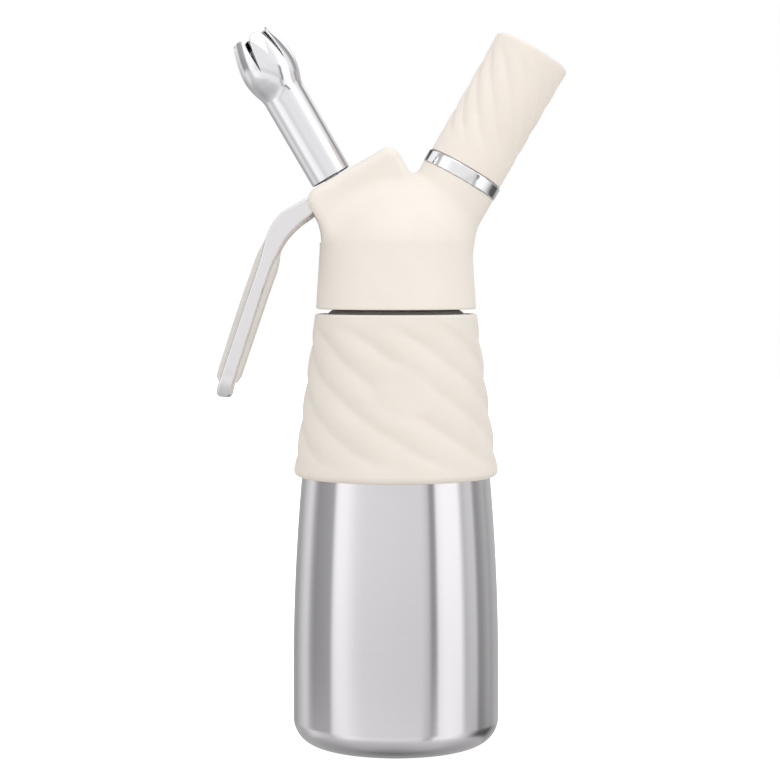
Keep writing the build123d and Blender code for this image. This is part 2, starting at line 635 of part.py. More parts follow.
def charge_nipple():
    """Threaded stub in the right arm that takes the charger's neck."""
    neck_top = NIPPLE_FLOOR_TOP + CHARGER_NECK_DEPTH
    shoulder_top = neck_top + CHARGER_SHOULDER_DEPTH
    body = tube(NIPPLE_RADIUS, PIERCING_PIN_RADIUS, NIPPLE_BOTTOM, NIPPLE_TOP)
    body -= turned((0, NIPPLE_FLOOR_TOP), (CHARGER_NECK_BORE, NIPPLE_FLOOR_TOP),
                   (CHARGER_NECK_BORE, neck_top), (CHARGER_BORE, shoulder_top),
                   (CHARGER_BORE, NIPPLE_TOP), (0, NIPPLE_TOP))
    return RIGHT_ARM * body


def piercing_pin():
    """Hollow pointed pin that opens the charger."""
    tip = NIPPLE_BOTTOM + PIERCING_PIN_LENGTH
    body = turned((0, NIPPLE_BOTTOM), (PIERCING_PIN_RADIUS, NIPPLE_BOTTOM),
                  (PIERCING_PIN_RADIUS, tip - PIERCING_TIP), (PIERCING_TIP_RADIUS, tip), (0, tip))
    return RIGHT_ARM * (body - tube(PIERCING_BORE, 0, NIPPLE_BOTTOM, tip))


def charger_seal():
    """Ring round the piercing pin that seals against the charger's neck."""
    seal_top = NIPPLE_FLOOR_TOP + CHARGER_SEAL_THICKNESS
    return RIGHT_ARM * tube(CHARGER_NECK_BORE, PIERCING_PIN_RADIUS, NIPPLE_FLOOR_TOP, seal_top)


def check_valve():
    """Rubber valve with a slit that lets gas into the bottle and not back."""
    bottom = NIPPLE_BOTTOM - CHECK_CHAMBER_DEPTH + CHECK_RETAINER_THICKNESS
    disc = tube(CHECK_CHAMBER_RADIUS, 0, bottom, bottom + CHECK_VALVE_THICKNESS)
    slit = Pos(0, 0, bottom + CHECK_VALVE_THICKNESS / 2) * Box(
        CHECK_CHAMBER_RADIUS, CHECK_SLIT, CHECK_VALVE_THICKNESS)
    return RIGHT_ARM * (disc - slit)


def check_valve_retainer():
    """Ring that carries the check valve."""
    bottom = NIPPLE_BOTTOM - CHECK_CHAMBER_DEPTH
    return RIGHT_ARM * tube(CHECK_CHAMBER_RADIUS, GAS_BORE, bottom, bottom + CHECK_RETAINER_THICKNESS)


def collar_ring():
    """Bright ring between the right arm and the charger holder."""
    inner = NIPPLE_RADIUS + ASSEMBLY_FIT
    outer = RIGHT_ARM_RADIUS + RING_LIP
    edge = outer - RING_CHAMFER
    return RIGHT_ARM * turned(
        (inner, RIGHT_ARM_TOP), (edge, RIGHT_ARM_TOP), (outer, RIGHT_ARM_TOP + RING_CHAMFER),
        (outer, RING_TOP - RING_CHAMFER), (edge, RING_TOP), (inner, RING_TOP))


def charger_holder_cup():
    """Metal cup that holds the charger and screws onto the nipple."""
    thread_bore = NIPPLE_RADIUS + THREAD_FIT
    vent = Plane(origin=(0, -CUP_RADIUS - CUT_MARGIN, CUP_TOP - CUP_VENT_DROP), z_dir=(0, 1, 0))
    body = tube(CUP_RADIUS, 0, HOLDER_BOTTOM, CUP_TOP)
    body -= tube(CHARGER_BORE, 0, HOLDER_BOTTOM, CUP_TOP - CUP_END_WALL)
    body -= tube(thread_bore, 0, HOLDER_BOTTOM, CUP_THREAD_TOP)
    return RIGHT_ARM * (body - vent * tube(CUP_VENT, 0, 0, CUP_RADIUS))


def charger_holder_grip():
    """Outer grip, pressed onto the cup."""
    outside = turned((0, HOLDER_BOTTOM), (CUP_RADIUS + GRIP_BOTTOM_THICKNESS, HOLDER_BOTTOM),
                     (CUP_RADIUS + GRIP_TOP_THICKNESS, HOLDER_TOP), (0, HOLDER_TOP))
    end_edge = outside.edges().filter_by(GeomType.CIRCLE).sort_by(Axis.Z)[-1]
    outside = fillet(end_edge, HOLDER_END_ROUNDING)
    return RIGHT_ARM * (outside - tube(CUP_RADIUS, 0, HOLDER_BOTTOM, CUP_TOP))


PARTS = [
    bottle_shell, bottle_sleeve, head_body, head_gasket, bush_seal, valve_bush, stem_seal, valve_stem,
    poppet_seal, stem_collar, valve_spring, nozzle_adaptor, nozzle_gasket, decorator_nozzle, lever,
    lever_grip_outer, lever_grip_inner, lever_pin, charge_nipple, piercing_pin, charger_seal,
    check_valve, check_valve_retainer, collar_ring, charger_holder_cup, charger_holder_grip,
]

os.makedirs("parts", exist_ok=True)
for make_part in PARTS:
    export_step(make_part(), f"parts/{make_part.__name__}.step")
    print(make_part.__name__)
print("lever pivot", LEFT_ARM.from_local_coords((PIVOT_SIDE, 0, PIVOT_HEIGHT)))
print("head bottom", HEAD_BOTTOM, "lip", LIP_HEIGHT, "arm root", ARM_ROOT_HEIGHT)
print("cup bore from", CUP_THREAD_TOP, "to", CUP_TOP - CUP_END_WALL, "along the right arm")
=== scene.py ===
import json
import logging
import math
from collections.abc import Callable, Sequence
from dataclasses import dataclass, field
from enum import Enum

import bmesh
import bpy
import numpy as np
from mathutils import Euler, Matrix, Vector
from numpy.typing import NDArray


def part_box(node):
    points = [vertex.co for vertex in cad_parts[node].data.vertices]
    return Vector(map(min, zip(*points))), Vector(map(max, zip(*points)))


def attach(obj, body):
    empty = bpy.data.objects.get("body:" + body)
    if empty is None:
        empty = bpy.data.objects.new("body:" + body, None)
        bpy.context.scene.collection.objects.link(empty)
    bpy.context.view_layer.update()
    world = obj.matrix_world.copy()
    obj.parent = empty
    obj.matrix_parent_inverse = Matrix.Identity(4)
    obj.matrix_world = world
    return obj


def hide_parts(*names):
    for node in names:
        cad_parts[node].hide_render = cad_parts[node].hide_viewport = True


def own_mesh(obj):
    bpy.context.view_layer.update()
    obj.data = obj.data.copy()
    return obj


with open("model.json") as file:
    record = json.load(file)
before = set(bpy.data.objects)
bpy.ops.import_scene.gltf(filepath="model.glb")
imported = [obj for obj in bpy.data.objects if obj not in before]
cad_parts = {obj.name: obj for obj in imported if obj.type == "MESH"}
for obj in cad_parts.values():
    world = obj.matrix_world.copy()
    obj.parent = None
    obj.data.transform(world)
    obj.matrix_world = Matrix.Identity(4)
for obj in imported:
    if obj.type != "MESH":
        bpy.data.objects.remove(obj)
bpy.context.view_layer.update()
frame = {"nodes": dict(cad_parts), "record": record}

Array = NDArray[np.float64]
Relief = Callable[[Array, Array, Array], Array]
LOG = logging.getLogger("dispenser")
MM = 0.001
TINY = 1e-6


# ---------------------------------------------------------------- frames and shapes


@dataclass(frozen=True)
class Arm:
    """A frame whose local Z leans from the vertical towards +X by an angle. Millimetres.

    The bottle's own frame has no lean and stands on the floor. The two arms of the head lean by 30
    degrees to either side, from where their axes meet the bottle's axis.
    """

    rise: float
    lean: float

    @property
    def matrix(self) -> Array:
        """Rows are the local X, Y and Z directions in the row frame."""
        sine, cosine = math.sin(math.radians(self.lean)), math.cos(math.radians(self.lean))
        return np.array([[cosine, 0, -sine], [0, 1, 0], [sine, 0, cosine]])

    def place(self, points: Array) -> Array:
        """Row-frame places of local points: origin plus each coordinate times its direction."""
        return points @ self.matrix + np.array([0, 0, self.rise])

    def local(self, points: Array) -> Array:
        """Local places of row-frame points, the inverse of place."""
        return (points - np.array([0, 0, self.rise])) @ self.matrix.T


def node_box(node: str) -> Array:
    """Lowest and highest corner of a CAD node, in millimetres."""
    return np.array([list(corner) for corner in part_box(node)]) / MM


HEAD_BOTTOM = float(node_box("head_body")[0, 2])
LIP = float(node_box("bottle_shell")[1, 2])
PIVOT_SIDE = 12.5
PIVOT_HEIGHT = 44.2
LEAN = 30.0
# The bottle's thread and the head's: its pitch, where it starts above the head's edge, and how far its ends fade.
NECK_PITCH = 3.0
NECK_START = 1.7
NECK_FADE = 2.5
# Points this near to a thread's radius are on the threaded surface.
ON_THREAD = 0.02


def arm_root() -> float:
    """Height at which the arms' axes meet: the lever's hinge less its place along and across the left arm.

    Returns:
        The height above the floor, in millimetres.
    """
    joints = frame["record"]["behaviour"]["joints"]
    hinge = next(joint for joint in joints if joint["name"] == "lever_squeeze")
    turn = math.radians(LEAN)
    return hinge["pos_m"][2] / MM - PIVOT_SIDE * math.sin(turn) - PIVOT_HEIGHT * math.cos(turn)


ARM_ROOT = arm_root()
UPRIGHT = Arm(0.0, 0.0)
LEFT = Arm(ARM_ROOT, -LEAN)
RIGHT = Arm(ARM_ROOT, LEAN)


@dataclass
class Shape:
    """Points in millimetres, faces grouped by their number of corners, and a UV place per corner."""

    points: Array
    faces: list[Array]
    uvs: list[Array]

    def joined(self, *others: "Shape") -> "Shape":
        """One shape that holds this one and the others.

        Args:
            *others: Shapes to add.
        Returns:
            The shape, with each one's faces pointing at its own points.
        """
        shapes = (self, *others)
        starts = np.cumsum([0] + [len(shape.points) for shape in shapes[:-1]])
        faces = [group + start for shape, start in zip(shapes, starts) for group in shape.faces]
        uvs = [group for shape in shapes for group in shape.uvs]
        return Shape(np.concatenate([shape.points for shape in shapes]), faces, uvs)

    def placed(self, arm: Arm) -> "Shape":
        """The same shape, moved from an arm's frame into the row frame."""
        return Shape(arm.place(self.points), self.faces, self.uvs)

    def moved(self, x: float, y: float, z: float) -> "Shape":
        """The same shape, shifted."""
        return Shape(self.points + np.array([x, y, z]), self.faces, self.uvs)


def grid_shape(points: Array, wrap_rows: bool = False, wrap_columns: bool = False) -> Shape:
    """Quads over a grid of points.

    Args:
        points: Array of rows by columns by 3.
        wrap_rows: Whether the last row joins the first.
        wrap_columns: Whether the last column joins the first.
    Returns:
        A shape whose faces look along column direction cross row direction.
    """
    rows, columns = points.shape[:2]
    i, j = np.meshgrid(np.arange(rows if wrap_rows else rows - 1),
                       np.arange(columns if wrap_columns else columns - 1), indexing="ij")
    i, j = i.ravel(), j.ravel()
    near, far = i * columns, (i + 1) % rows * columns
    here, there = j, (j + 1) % columns
    quads = np.stack([near + here, near + there, far + there, far + here], -1)
    u, v = j / columns, i / rows
    corners = [(u, v), (u + 1 / columns, v), (u + 1 / columns, v + 1 / rows), (u, v + 1 / rows)]
    return Shape(points.reshape(-1, 3), [quads], [np.stack([np.stack(c, -1) for c in corners], 1)])


def revolved(profile: Array, columns: int = 96, relief: Relief | None = None, loop: bool = True) -> Shape:
    """Surface of revolution: (r, h) goes to (r cos t, r sin t, h), with the relief added to r.

    Args:
        profile: Radius and height of each point, with the solid on the left of the way along it.
        columns: Number of steps in a whole turn.
        relief: Extra radius from the turn, the radius and the height.
        loop: Whether the profile is closed; if not, its ends may lie on the axis as poles.
    Returns:
        The closed surface, with faces outward.
    """
    turn = np.arange(columns)[None, :] * (2 * math.pi / columns)
    low = not loop and profile[0, 0] < TINY
    high = not loop and profile[-1, 0] < TINY
    rings = profile[int(low):len(profile) - int(high)]
    radius, height = rings[:, :1], rings[:, 1:] + 0 * turn
    radius = radius + (relief(turn, radius, rings[:, 1:]) if relief else 0 * turn)
    points = np.stack([radius * np.cos(turn), radius * np.sin(turn), height], -1)
    shape = grid_shape(points, wrap_rows=loop, wrap_columns=True)
    here = np.arange(columns)
    there = (here + 1) % columns
    poles, fans = [], []
    if low:
        poles.append([0, 0, profile[0, 1]])
        fans.append(np.stack([np.full(columns, rings.shape[0] * columns), there, here], -1))
    if high:
        last = (len(rings) - 1) * columns
        pole = np.full(columns, rings.shape[0] * columns + len(poles))
        fans.append(np.stack([last + here, last + there, pole], -1))
        poles.append([0, 0, profile[-1, 1]])
    if poles:
        shape.points = np.concatenate([shape.points, np.array(poles, float)])
        shape.faces += fans
        corners = np.stack([here / columns, (here + 1) / columns, (here + 0.5) / columns], -1)
        shape.uvs += [np.stack([corners, 0 * corners], -1) for _ in fans]
    return shape


def rounded(corners: Sequence[tuple[float, float, float]], steps: int = 6, loop: bool = True) -> Array:
    """Outline whose corners are arcs: each arc starts and ends at radius / tan(half the corner's angle).

    Args:
        corners: Two coordinates and the radius of each corner.
        steps: Number of steps of each arc.
        loop: Whether the outline is closed.
    Returns:
        Points of the outline, without doubles.
    """
    data = np.array(corners, float)
    here, radius = data[:, :2], data[:, 2].copy()
    if not loop:
        radius[[0, -1]] = 0
    back, ahead = np.roll(here, 1, 0) - here, np.roll(here, -1, 0) - here
    back /= np.linalg.norm(back, axis=1, keepdims=True) + TINY
    ahead /= np.linalg.norm(ahead, axis=1, keepdims=True) + TINY
    half = np.arccos(np.clip((back * ahead).sum(1), -1 + TINY, 1 - TINY)) / 2
    middle = back + ahead
    middle /= np.linalg.norm(middle, axis=1, keepdims=True) + TINY
    centre = here + middle * (radius / np.sin(half))[:, None]
    first = here + back * (radius / np.tan(half))[:, None] - centre
    last = here + ahead * (radius / np.tan(half))[:, None] - centre
    start = np.arctan2(first[:, 1], first[:, 0])
    sweep = (np.arctan2(last[:, 1], last[:, 0]) - start + math.pi) % (2 * math.pi) - math.pi
    angle = start[:, None] + sweep[:, None] * np.linspace(0, 1, steps + 1)
    arc = centre[:, None] + radius[:, None, None] * np.stack([np.cos(angle), np.sin(angle)], -1)
    points = arc.reshape(-1, 2)
    keep = np.linalg.norm(points - np.roll(points, 1, 0), axis=1) > 1e-4
    keep[0] |= not loop
    return points[keep]


def dense(outline: Array, step: float, loop: bool = True) -> Array:
    """The same outline with its long runs divided evenly, so that no run is longer than step.

    Args:
        outline: Two coordinates of each point.
        step: Longest run between two neighbours.
        loop: Whether the last point joins the first.
    Returns:
        The outline's own points with the new ones between them.
    """
    ends = np.roll(outline, -1, 0) if loop else outline[1:]
    starts = outline if loop else outline[:-1]
    counts = np.maximum(1, np.ceil(np.linalg.norm(ends - starts, axis=1) / step)).astype(int)
    first = np.repeat(np.cumsum(counts) - counts, counts)
    share = (np.arange(counts.sum()) - first) / np.repeat(counts, counts)
    points = np.repeat(starts, counts, 0) + np.repeat(ends - starts, counts, 0) * share[:, None]
    return points if loop else np.concatenate([points, outline[-1:]])


def smooth_through(keys: Sequence[tuple[float, float]], places: Array) -> Array:
    """Value at each place of the cubic curve through the keys, with slopes from their neighbours.

    Args:
        keys: Place and value of each key, with the places rising.
        places: Where the curve is read.
    Returns:
        The values; past the first and last key they stay as there.
    """
    at, value = np.array(keys, float).T
    slope = np.gradient(value, at)
    index = np.clip(np.searchsorted(at, places, side="right") - 1, 0, len(at) - 2)
    width = at[index + 1] - at[index]
    t = np.clip((places - at[index]) / width, 0, 1)
    return ((2 * t ** 3 - 3 * t ** 2 + 1) * value[index] + (t ** 3 - 2 * t ** 2 + t) * width * slope[index]
            + (3 * t ** 2 - 2 * t ** 3) * value[index + 1] + (t ** 3 - t ** 2) * width * slope[index + 1])


def smooth_step(low: float, high: float, value: Array) -> Array:
    """0 below low, 1 above high, and 3t^2 - 2t^3 between."""
    t = np.clip((value - low) / (high - low), 0, 1)
    return t * t * (3 - 2 * t)


def arc_through(first: Sequence[float], middle: Sequence[float], last: Sequence[float], steps: int) -> Array:
    """Points of the circle through three points, from the first to the last.

    With the points as complex numbers, the ratio of the two chords from the first gives the centre.

    Args:
        first: Two coordinates of the start.
        middle: A point that the arc passes.
        last: Two coordinates of the end.
        steps: Number of even steps.
    Returns:
        The points, one more than the steps.
    """
    a, b, c = (complex(*point) for point in (first, middle, last))
    w = (c - a) / (b - a)
    centre = (b - a) * (w - abs(w) ** 2) / (2j * w.imag) + a
    start, turn = np.angle(a - centre), np.angle((c - centre) / (a - centre))
    if np.angle((b - centre) / (a - centre)) * turn < 0:
        turn -= math.copysign(2 * math.pi, turn)
    ring = centre + abs(a - centre) * np.exp(1j * (start + turn * np.linspace(0, 1, steps + 1)))
    return np.stack([ring.real, ring.imag], -1)


def inset(outline: Array, depth: float) -> Array:
    """Closed outline moved inwards: each point goes along the sum of its two edges' normals.

    Args:
        outline: Two coordinates of each point, counter-clockwise.
        depth: How far each edge moves in.
    Returns:
        The moved points, in the same order.
    """
    edge = np.roll(outline, -1, 0) - outline
    edge /= np.linalg.norm(edge, axis=1, keepdims=True) + TINY
    normal = np.stack([-edge[:, 1], edge[:, 0]], -1)
    before = np.roll(normal, 1, 0)
    share = 1 + (normal * before).sum(1, keepdims=True)
    return outline + depth * (normal + before) / np.maximum(share, 0.4)


def prism(outline: Array, low: float, high: float, rounding: float, steps: int = 4) -> Shape:
    """Plate across Y with rounded edges: a quarter circle carried along the outline at both faces.

    Args:
        outline: Side and height of each point, counter-clockwise as seen from the front.
        low: Y of the front face.
        high: Y of the back face.
        rounding: Radius of the edges.
        steps: Number of steps of each quarter circle.
    Returns:
        The closed plate, with flat faces whose rim has a narrow ring for even shading.
    """
    angle = np.linspace(0, math.pi / 2, steps + 1)
    depth = np.concatenate([[rounding + 0.2], rounding * (1 - np.sin(angle))])
    across = np.concatenate([[0], rounding * (1 - np.cos(angle))])
    rings = [np.insert(inset(outline, d), 1, low + a, axis=1) for d, a in zip(depth, across)]
    rings += [np.insert(inset(outline, d), 1, high - a, axis=1) for d, a in zip(depth[::-1], across[::-1])]
    shape = grid_shape(np.array(rings), wrap_columns=True)
    shape.faces = [group[:, ::-1] for group in shape.faces]
    shape.uvs = [group[:, ::-1] for group in shape.uvs]
    count, last = len(outline), (len(rings) - 1) * len(outline)
    shape.faces += [np.arange(count)[None, :], (last + np.arange(count))[None, ::-1]]
    shape.uvs += [outline[None] * 0.01, outline[None, ::-1] * 0.01]
    return shape


def thread_wave(turn: Array, height: Array, pitch: float) -> Array:
    """Depth share of a screw thread: 0 on its crest, 1 in its root, with rounded flanks."""
    wave = 0.5 + 0.5 * np.cos(2 * math.pi * height / pitch - turn)
    return smooth_step(0.25, 0.75, wave)


# ---------------------------------------------------------------- materials


def linear(hex_colour: str) -> tuple[float, float, float, float]:
    """Linear colour of an sRGB hex value.

    Args:
        hex_colour: A hash and six hex digits.
    Returns:
        Red, green and blue between 0 and 1, and an alpha of 1.
    """
    value = np.array([int(hex_colour[i:i + 2], 16) for i in (1, 3, 5)]) / 255
    value = np.where(value <= 0.04045, value / 12.92, ((value + 0.055) / 1.055) ** 2.4)
    return (*(float(channel) for channel in value), 1.0)


def add_node(tree: bpy.types.NodeTree, kind: str, settings: dict | None = None,
             inputs: dict | None = None) -> bpy.types.Node:
    """Adds a node.

    Args:
        tree: Node tree that the node goes into.
        kind: Name of the node's type, without its prefix.
        settings: Properties of the node.
        inputs: Constant or output socket for each input, by name or number.
    Returns:
        The new node.
    """
    made = tree.nodes.new(f"ShaderNode{kind}")
    for name, value in (settings or {}).items():
        setattr(made, name, value)
    for name, value in (inputs or {}).items():
        if isinstance(value, bpy.types.NodeSocket):
            tree.links.new(value, made.inputs[name])
        else:
            made.inputs[name].default_value = value
    return made


def set_ramp(ramp: bpy.types.Node, stops: Sequence[tuple[float, str | float]], interpolation: str = "LINEAR") -> None:
    """Gives a colour ramp its stops.

    Args:
        ramp: The ramp's node.
        stops: Place of each stop, and its sRGB hex value or plain level.
        interpolation: How the ramp goes from one stop to the next.
    """
    elements = ramp.color_ramp.elements
    ramp.color_ramp.interpolation = interpolation
    while len(elements) > 1:
        elements.remove(elements[-1])
    for index, (place, value) in enumerate(stops):
        stop = elements[0] if index == 0 else elements.new(place)
        stop.position = place
        stop.color = linear(value) if isinstance(value, str) else (value, value, value, 1)


class Grain(Enum):
    """Direction of the fine lines on a metal, in its arm's frame."""

    AROUND = (0.012, 0.012, 1.0)
    ALONG = (1.0, 1.0, 0.02)
    NONE = (1.0, 1.0, 1.0)


@dataclass(frozen=True)
class MetalFinish:
    """Bare metal: fine lines of the tool or belt that finished it, seen as streaks in its gloss.

    line_mm is the spacing of the lines, line_depth their bump, mottle the spread of the roughness.
    """

    name: str
    colour: str
    roughness: float
    grain: Grain
    line_mm: float
    line_depth: float
    anisotropy: float = 0.0
    mottle: float = 0.06
    arm: Arm = UPRIGHT
    tint: float = 0.02

    def material(self) -> bpy.types.Material:
        """Builds the node material.

        Returns:
            The material.
        """
        made, tree, shader, place = start_material(self.name, self.arm)
        scale = tuple(direction / (self.line_mm * MM) for direction in self.grain.value)
        stretched = add_node(tree, "VectorMath", {"operation": "MULTIPLY"}, {0: place, 1: scale})
        lines = add_node(tree, "TexNoise", {}, {"Vector": stretched.outputs[0], "Scale": 0.5, "Detail": 3.0,
                                                "Roughness": 0.6})
        clouds = add_node(tree, "TexNoise", {}, {"Vector": place, "Scale": 1 / (25 * MM), "Detail": 2.0})
        mixed = add_node(tree, "Math", {"operation": "MULTIPLY_ADD"}, {0: clouds.outputs[0], 1: 0.35,
                                                                      2: lines.outputs[0]})
        rough = add_node(tree, "MapRange", {}, {"Value": mixed.outputs[0], "From Min": 0.3, "From Max": 1.0,
                                                "To Min": max(self.roughness - self.mottle, 0.02),
                                                "To Max": self.roughness + self.mottle})
        tint = add_node(tree, "ValToRGB", {}, {"Fac": lines.outputs[0]})
        base = np.array(linear(self.colour)[:3])
        set_ramp(tint, [(0.25, 0.0), (0.75, 1.0)])
        tint.color_ramp.elements[0].color = (*(base * (1 - self.tint)), 1)
        tint.color_ramp.elements[1].color = (*np.minimum(base * (1 + self.tint), 1.0), 1)
        bump = add_node(tree, "Bump", {}, {"Strength": 0.35, "Distance": self.line_depth * MM,
                                           "Height": lines.outputs[0]})
        tree.links.new(tint.outputs[0], shader.inputs["Base Color"])
        tree.links.new(rough.outputs[0], shader.inputs["Roughness"])
        tree.links.new(bump.outputs[0], shader.inputs["Normal"])
        shader.inputs["Metallic"].default_value = 1.0
        if self.anisotropy:
            tangent = add_node(tree, "Tangent", {"direction_type": "UV_MAP", "uv_map": "UVMap"})
            tree.links.new(tangent.outputs[0], shader.inputs["Tangent"])
            shader.inputs["Anisotropic"].default_value = self.anisotropy
            shader.inputs["Anisotropic Rotation"].default_value = 0.25
        return made


@dataclass(frozen=True)
class CoatFinish:
    """Matte coating or moulded rubber: one colour with faint clouds, and a fine grain that scatters its gloss.

    grain_mm is the grain's size, grain_depth its bump, softness the share of light scattered below the skin.
    """

    name: str
    colour: str
    shade: str
    roughness: float
    grain_mm: float
    grain_depth: float
    ior: float = 1.5
    softness: float = 0.0
    sheen: float = 0.0
    arm: Arm = UPRIGHT

    def material(self) -> bpy.types.Material:
        """Builds the node material.

        Returns:
            The material.
        """
        made, tree, shader, place = start_material(self.name, self.arm)
        clouds = add_node(tree, "TexNoise", {}, {"Vector": place, "Scale": 1 / (18 * MM), "Detail": 3.0,
                                                 "Roughness": 0.55})
        grain = add_node(tree, "TexNoise", {}, {"Vector": place, "Scale": 1 / (self.grain_mm * MM), "Detail": 2.0,
                                                "Roughness": 0.5})
        tint = add_node(tree, "ValToRGB", {}, {"Fac": clouds.outputs[0]})
        set_ramp(tint, [(0.32, self.shade), (0.68, self.colour)])
        rough = add_node(tree, "MapRange", {}, {"Value": grain.outputs[0], "From Min": 0.25, "From Max": 0.75,
                                                "To Min": self.roughness - 0.05, "To Max": self.roughness + 0.05})
        bump = add_node(tree, "Bump", {}, {"Strength": 0.3, "Distance": self.grain_depth * MM,
                                           "Height": grain.outputs[0]})
        tree.links.new(tint.outputs[0], shader.inputs["Base Color"])
        tree.links.new(rough.outputs[0], shader.inputs["Roughness"])
        tree.links.new(bump.outputs[0], shader.inputs["Normal"])
        shader.inputs["IOR"].default_value = self.ior
        shader.inputs["Subsurface Weight"].default_value = self.softness
        shader.inputs["Subsurface Radius"].default_value = (0.6, 0.45, 0.35)
        shader.inputs["Subsurface Scale"].default_value = 2 * MM
        shader.inputs["Sheen Weight"].default_value = self.sheen
        shader.inputs["Sheen Roughness"].default_value = 0.5
        return made


def start_material(name: str, arm: Arm) -> tuple[bpy.types.Material, bpy.types.NodeTree, bpy.types.Node,
                                                  bpy.types.NodeSocket]:
    """Starts a material whose patterns lie in an arm's frame.

    Args:
        name: Name of the material.
        arm: Frame that the patterns follow.
    Returns:
        The material, its tree, its shader and the socket with places in the arm's frame, in metres.
    """
    made = bpy.data.materials.new(name)
    made.use_nodes = True
    tree = made.node_tree
    shader = tree.nodes["Principled BSDF"]
    coordinate = add_node(tree, "TexCoord")
    mapping = add_node(tree, "Mapping", {"vector_type": "TEXTURE"},
                       {"Vector": coordinate.outputs["Object"], "Location": (0, 0, arm.rise * MM),
                        "Rotation": (0, math.radians(arm.lean), 0)})
    return made, tree, shader, mapping.outputs[0]


# Stainless steel, drawn and then brushed round the bottle by a belt: upright bands of light with soft streaks.
BRUSHED_STEEL = MetalFinish("stainless_steel_brushed_round", "#dcdadd", 0.15, Grain.AROUND, 0.6, 0.0008, 0.8,
                            0.01, UPRIGHT, 0.006)
# Stainless steel nozzle, polished with faint lines left along it.
POLISHED_STEEL = MetalFinish("stainless_steel_polished", "#ecebee", 0.06, Grain.ALONG, 0.5, 0.003, 0.0, 0.03, LEFT)
# Chrome plating on brass: a mirror with dark rims.
CHROME = MetalFinish("chrome_plating", "#f0f0f2", 0.05, Grain.AROUND, 0.6, 0.001, 0.0, 0.02, RIGHT)
# Die-cast zinc alloy lever, satin nickel plated: even and softly shining.
SATIN_LEVER = MetalFinish("satin_nickel_on_zinc", "#edebed", 0.22, Grain.NONE, 0.9, 0.0008, 0.0, 0.03, LEFT, 0.012)
# Turned steel and brass parts of the valves: fine rings of the lathe.
TURNED_LEFT = MetalFinish("turned_steel_valve", "#cfced2", 0.25, Grain.AROUND, 0.35, 0.01, 0.0, 0.06, LEFT)
TURNED_RIGHT = MetalFinish("turned_steel_nipple", "#cfced2", 0.25, Grain.AROUND, 0.35, 0.01, 0.0, 0.06, RIGHT)
# Anodised aluminium cup, turned.
CUP_METAL = MetalFinish("anodised_aluminium_cup", "#d3d2d6", 0.3, Grain.AROUND, 0.4, 0.008, 0.0, 0.06, RIGHT)
# Hard-drawn spring wire.
SPRING_WIRE = MetalFinish("spring_wire", "#b7b5b8", 0.3, Grain.NONE, 0.3, 0.004, 0.0, 0.08, LEFT)
# Cast aluminium head with a soft matte powder coat: even cream with a broad dull gloss.
CREAM_COAT = CoatFinish("matte_powder_coat_cream", "#eee7df", "#ebe4db", 0.5, 0.5, 0.01, 1.48)
# Silicone rubber sleeve, moulded: the same cream, a little duller and softer.
CREAM_SILICONE = CoatFinish("silicone_rubber_cream", "#e9e2da", "#e6dfd6", 0.6, 0.4, 0.01, 1.43, 0.12, 0.05)
# The same silicone on the charger holder's grip, lying along its arm, painted lighter than the sleeve as painted
# light on the holder, which faces up into the light.
LIT_CREAM_GRIP = CoatFinish("silicone_rubber_cream_grip_painted_light", "#efe7df", "#ece4db", 0.6, 0.4, 0.01, 1.43, 0.12, 0.05, RIGHT)
# Translucent silicone strips of the lever: the sleeve's cream painted darker and greyer, as painted shade for strips
# that face away from the light.
SHADED_STRIP_SILICONE = CoatFinish("silicone_rubber_strip_painted_shade", "#d6d2cd", "#d2cec9", 0.45, 0.4, 0.01, 1.43, 0.2, 0.05, LEFT)
# Clear silicone gasket, milky.
CLEAR_SILICONE = CoatFinish("silicone_gasket_milky", "#e9e7e0", "#e2dfd8", 0.45, 0.3, 0.01, 1.43, 0.3)
# Red-brown seal rubber.
SEAL_RUBBER = CoatFinish("nitrile_rubber_red", "#8a3a2e", "#7d3228", 0.55, 0.25, 0.01, 1.52)


_materials: dict[str, bpy.types.Material] = {}


def dressed(finish: MetalFinish | CoatFinish) -> bpy.types.Material:
    """The finish's material, built once.

    Args:
        finish: Finish to look up or build.
    Returns:
        The material, the same one for every piece with that finish.
    """
    if finish.name not in _materials:
        _materials[finish.name] = finish.material()
    return _materials[finish.name]


# ---------------------------------------------------------------- pieces


@dataclass(frozen=True)
class Look:
    """What a piece rides on, the name of its record slot (kept, not read), its finish and the CAD nodes it stands
    for.
    """

    body: str
    slot: str
    finish: MetalFinish | CoatFinish
    stands_for: tuple[str, ...] = ()


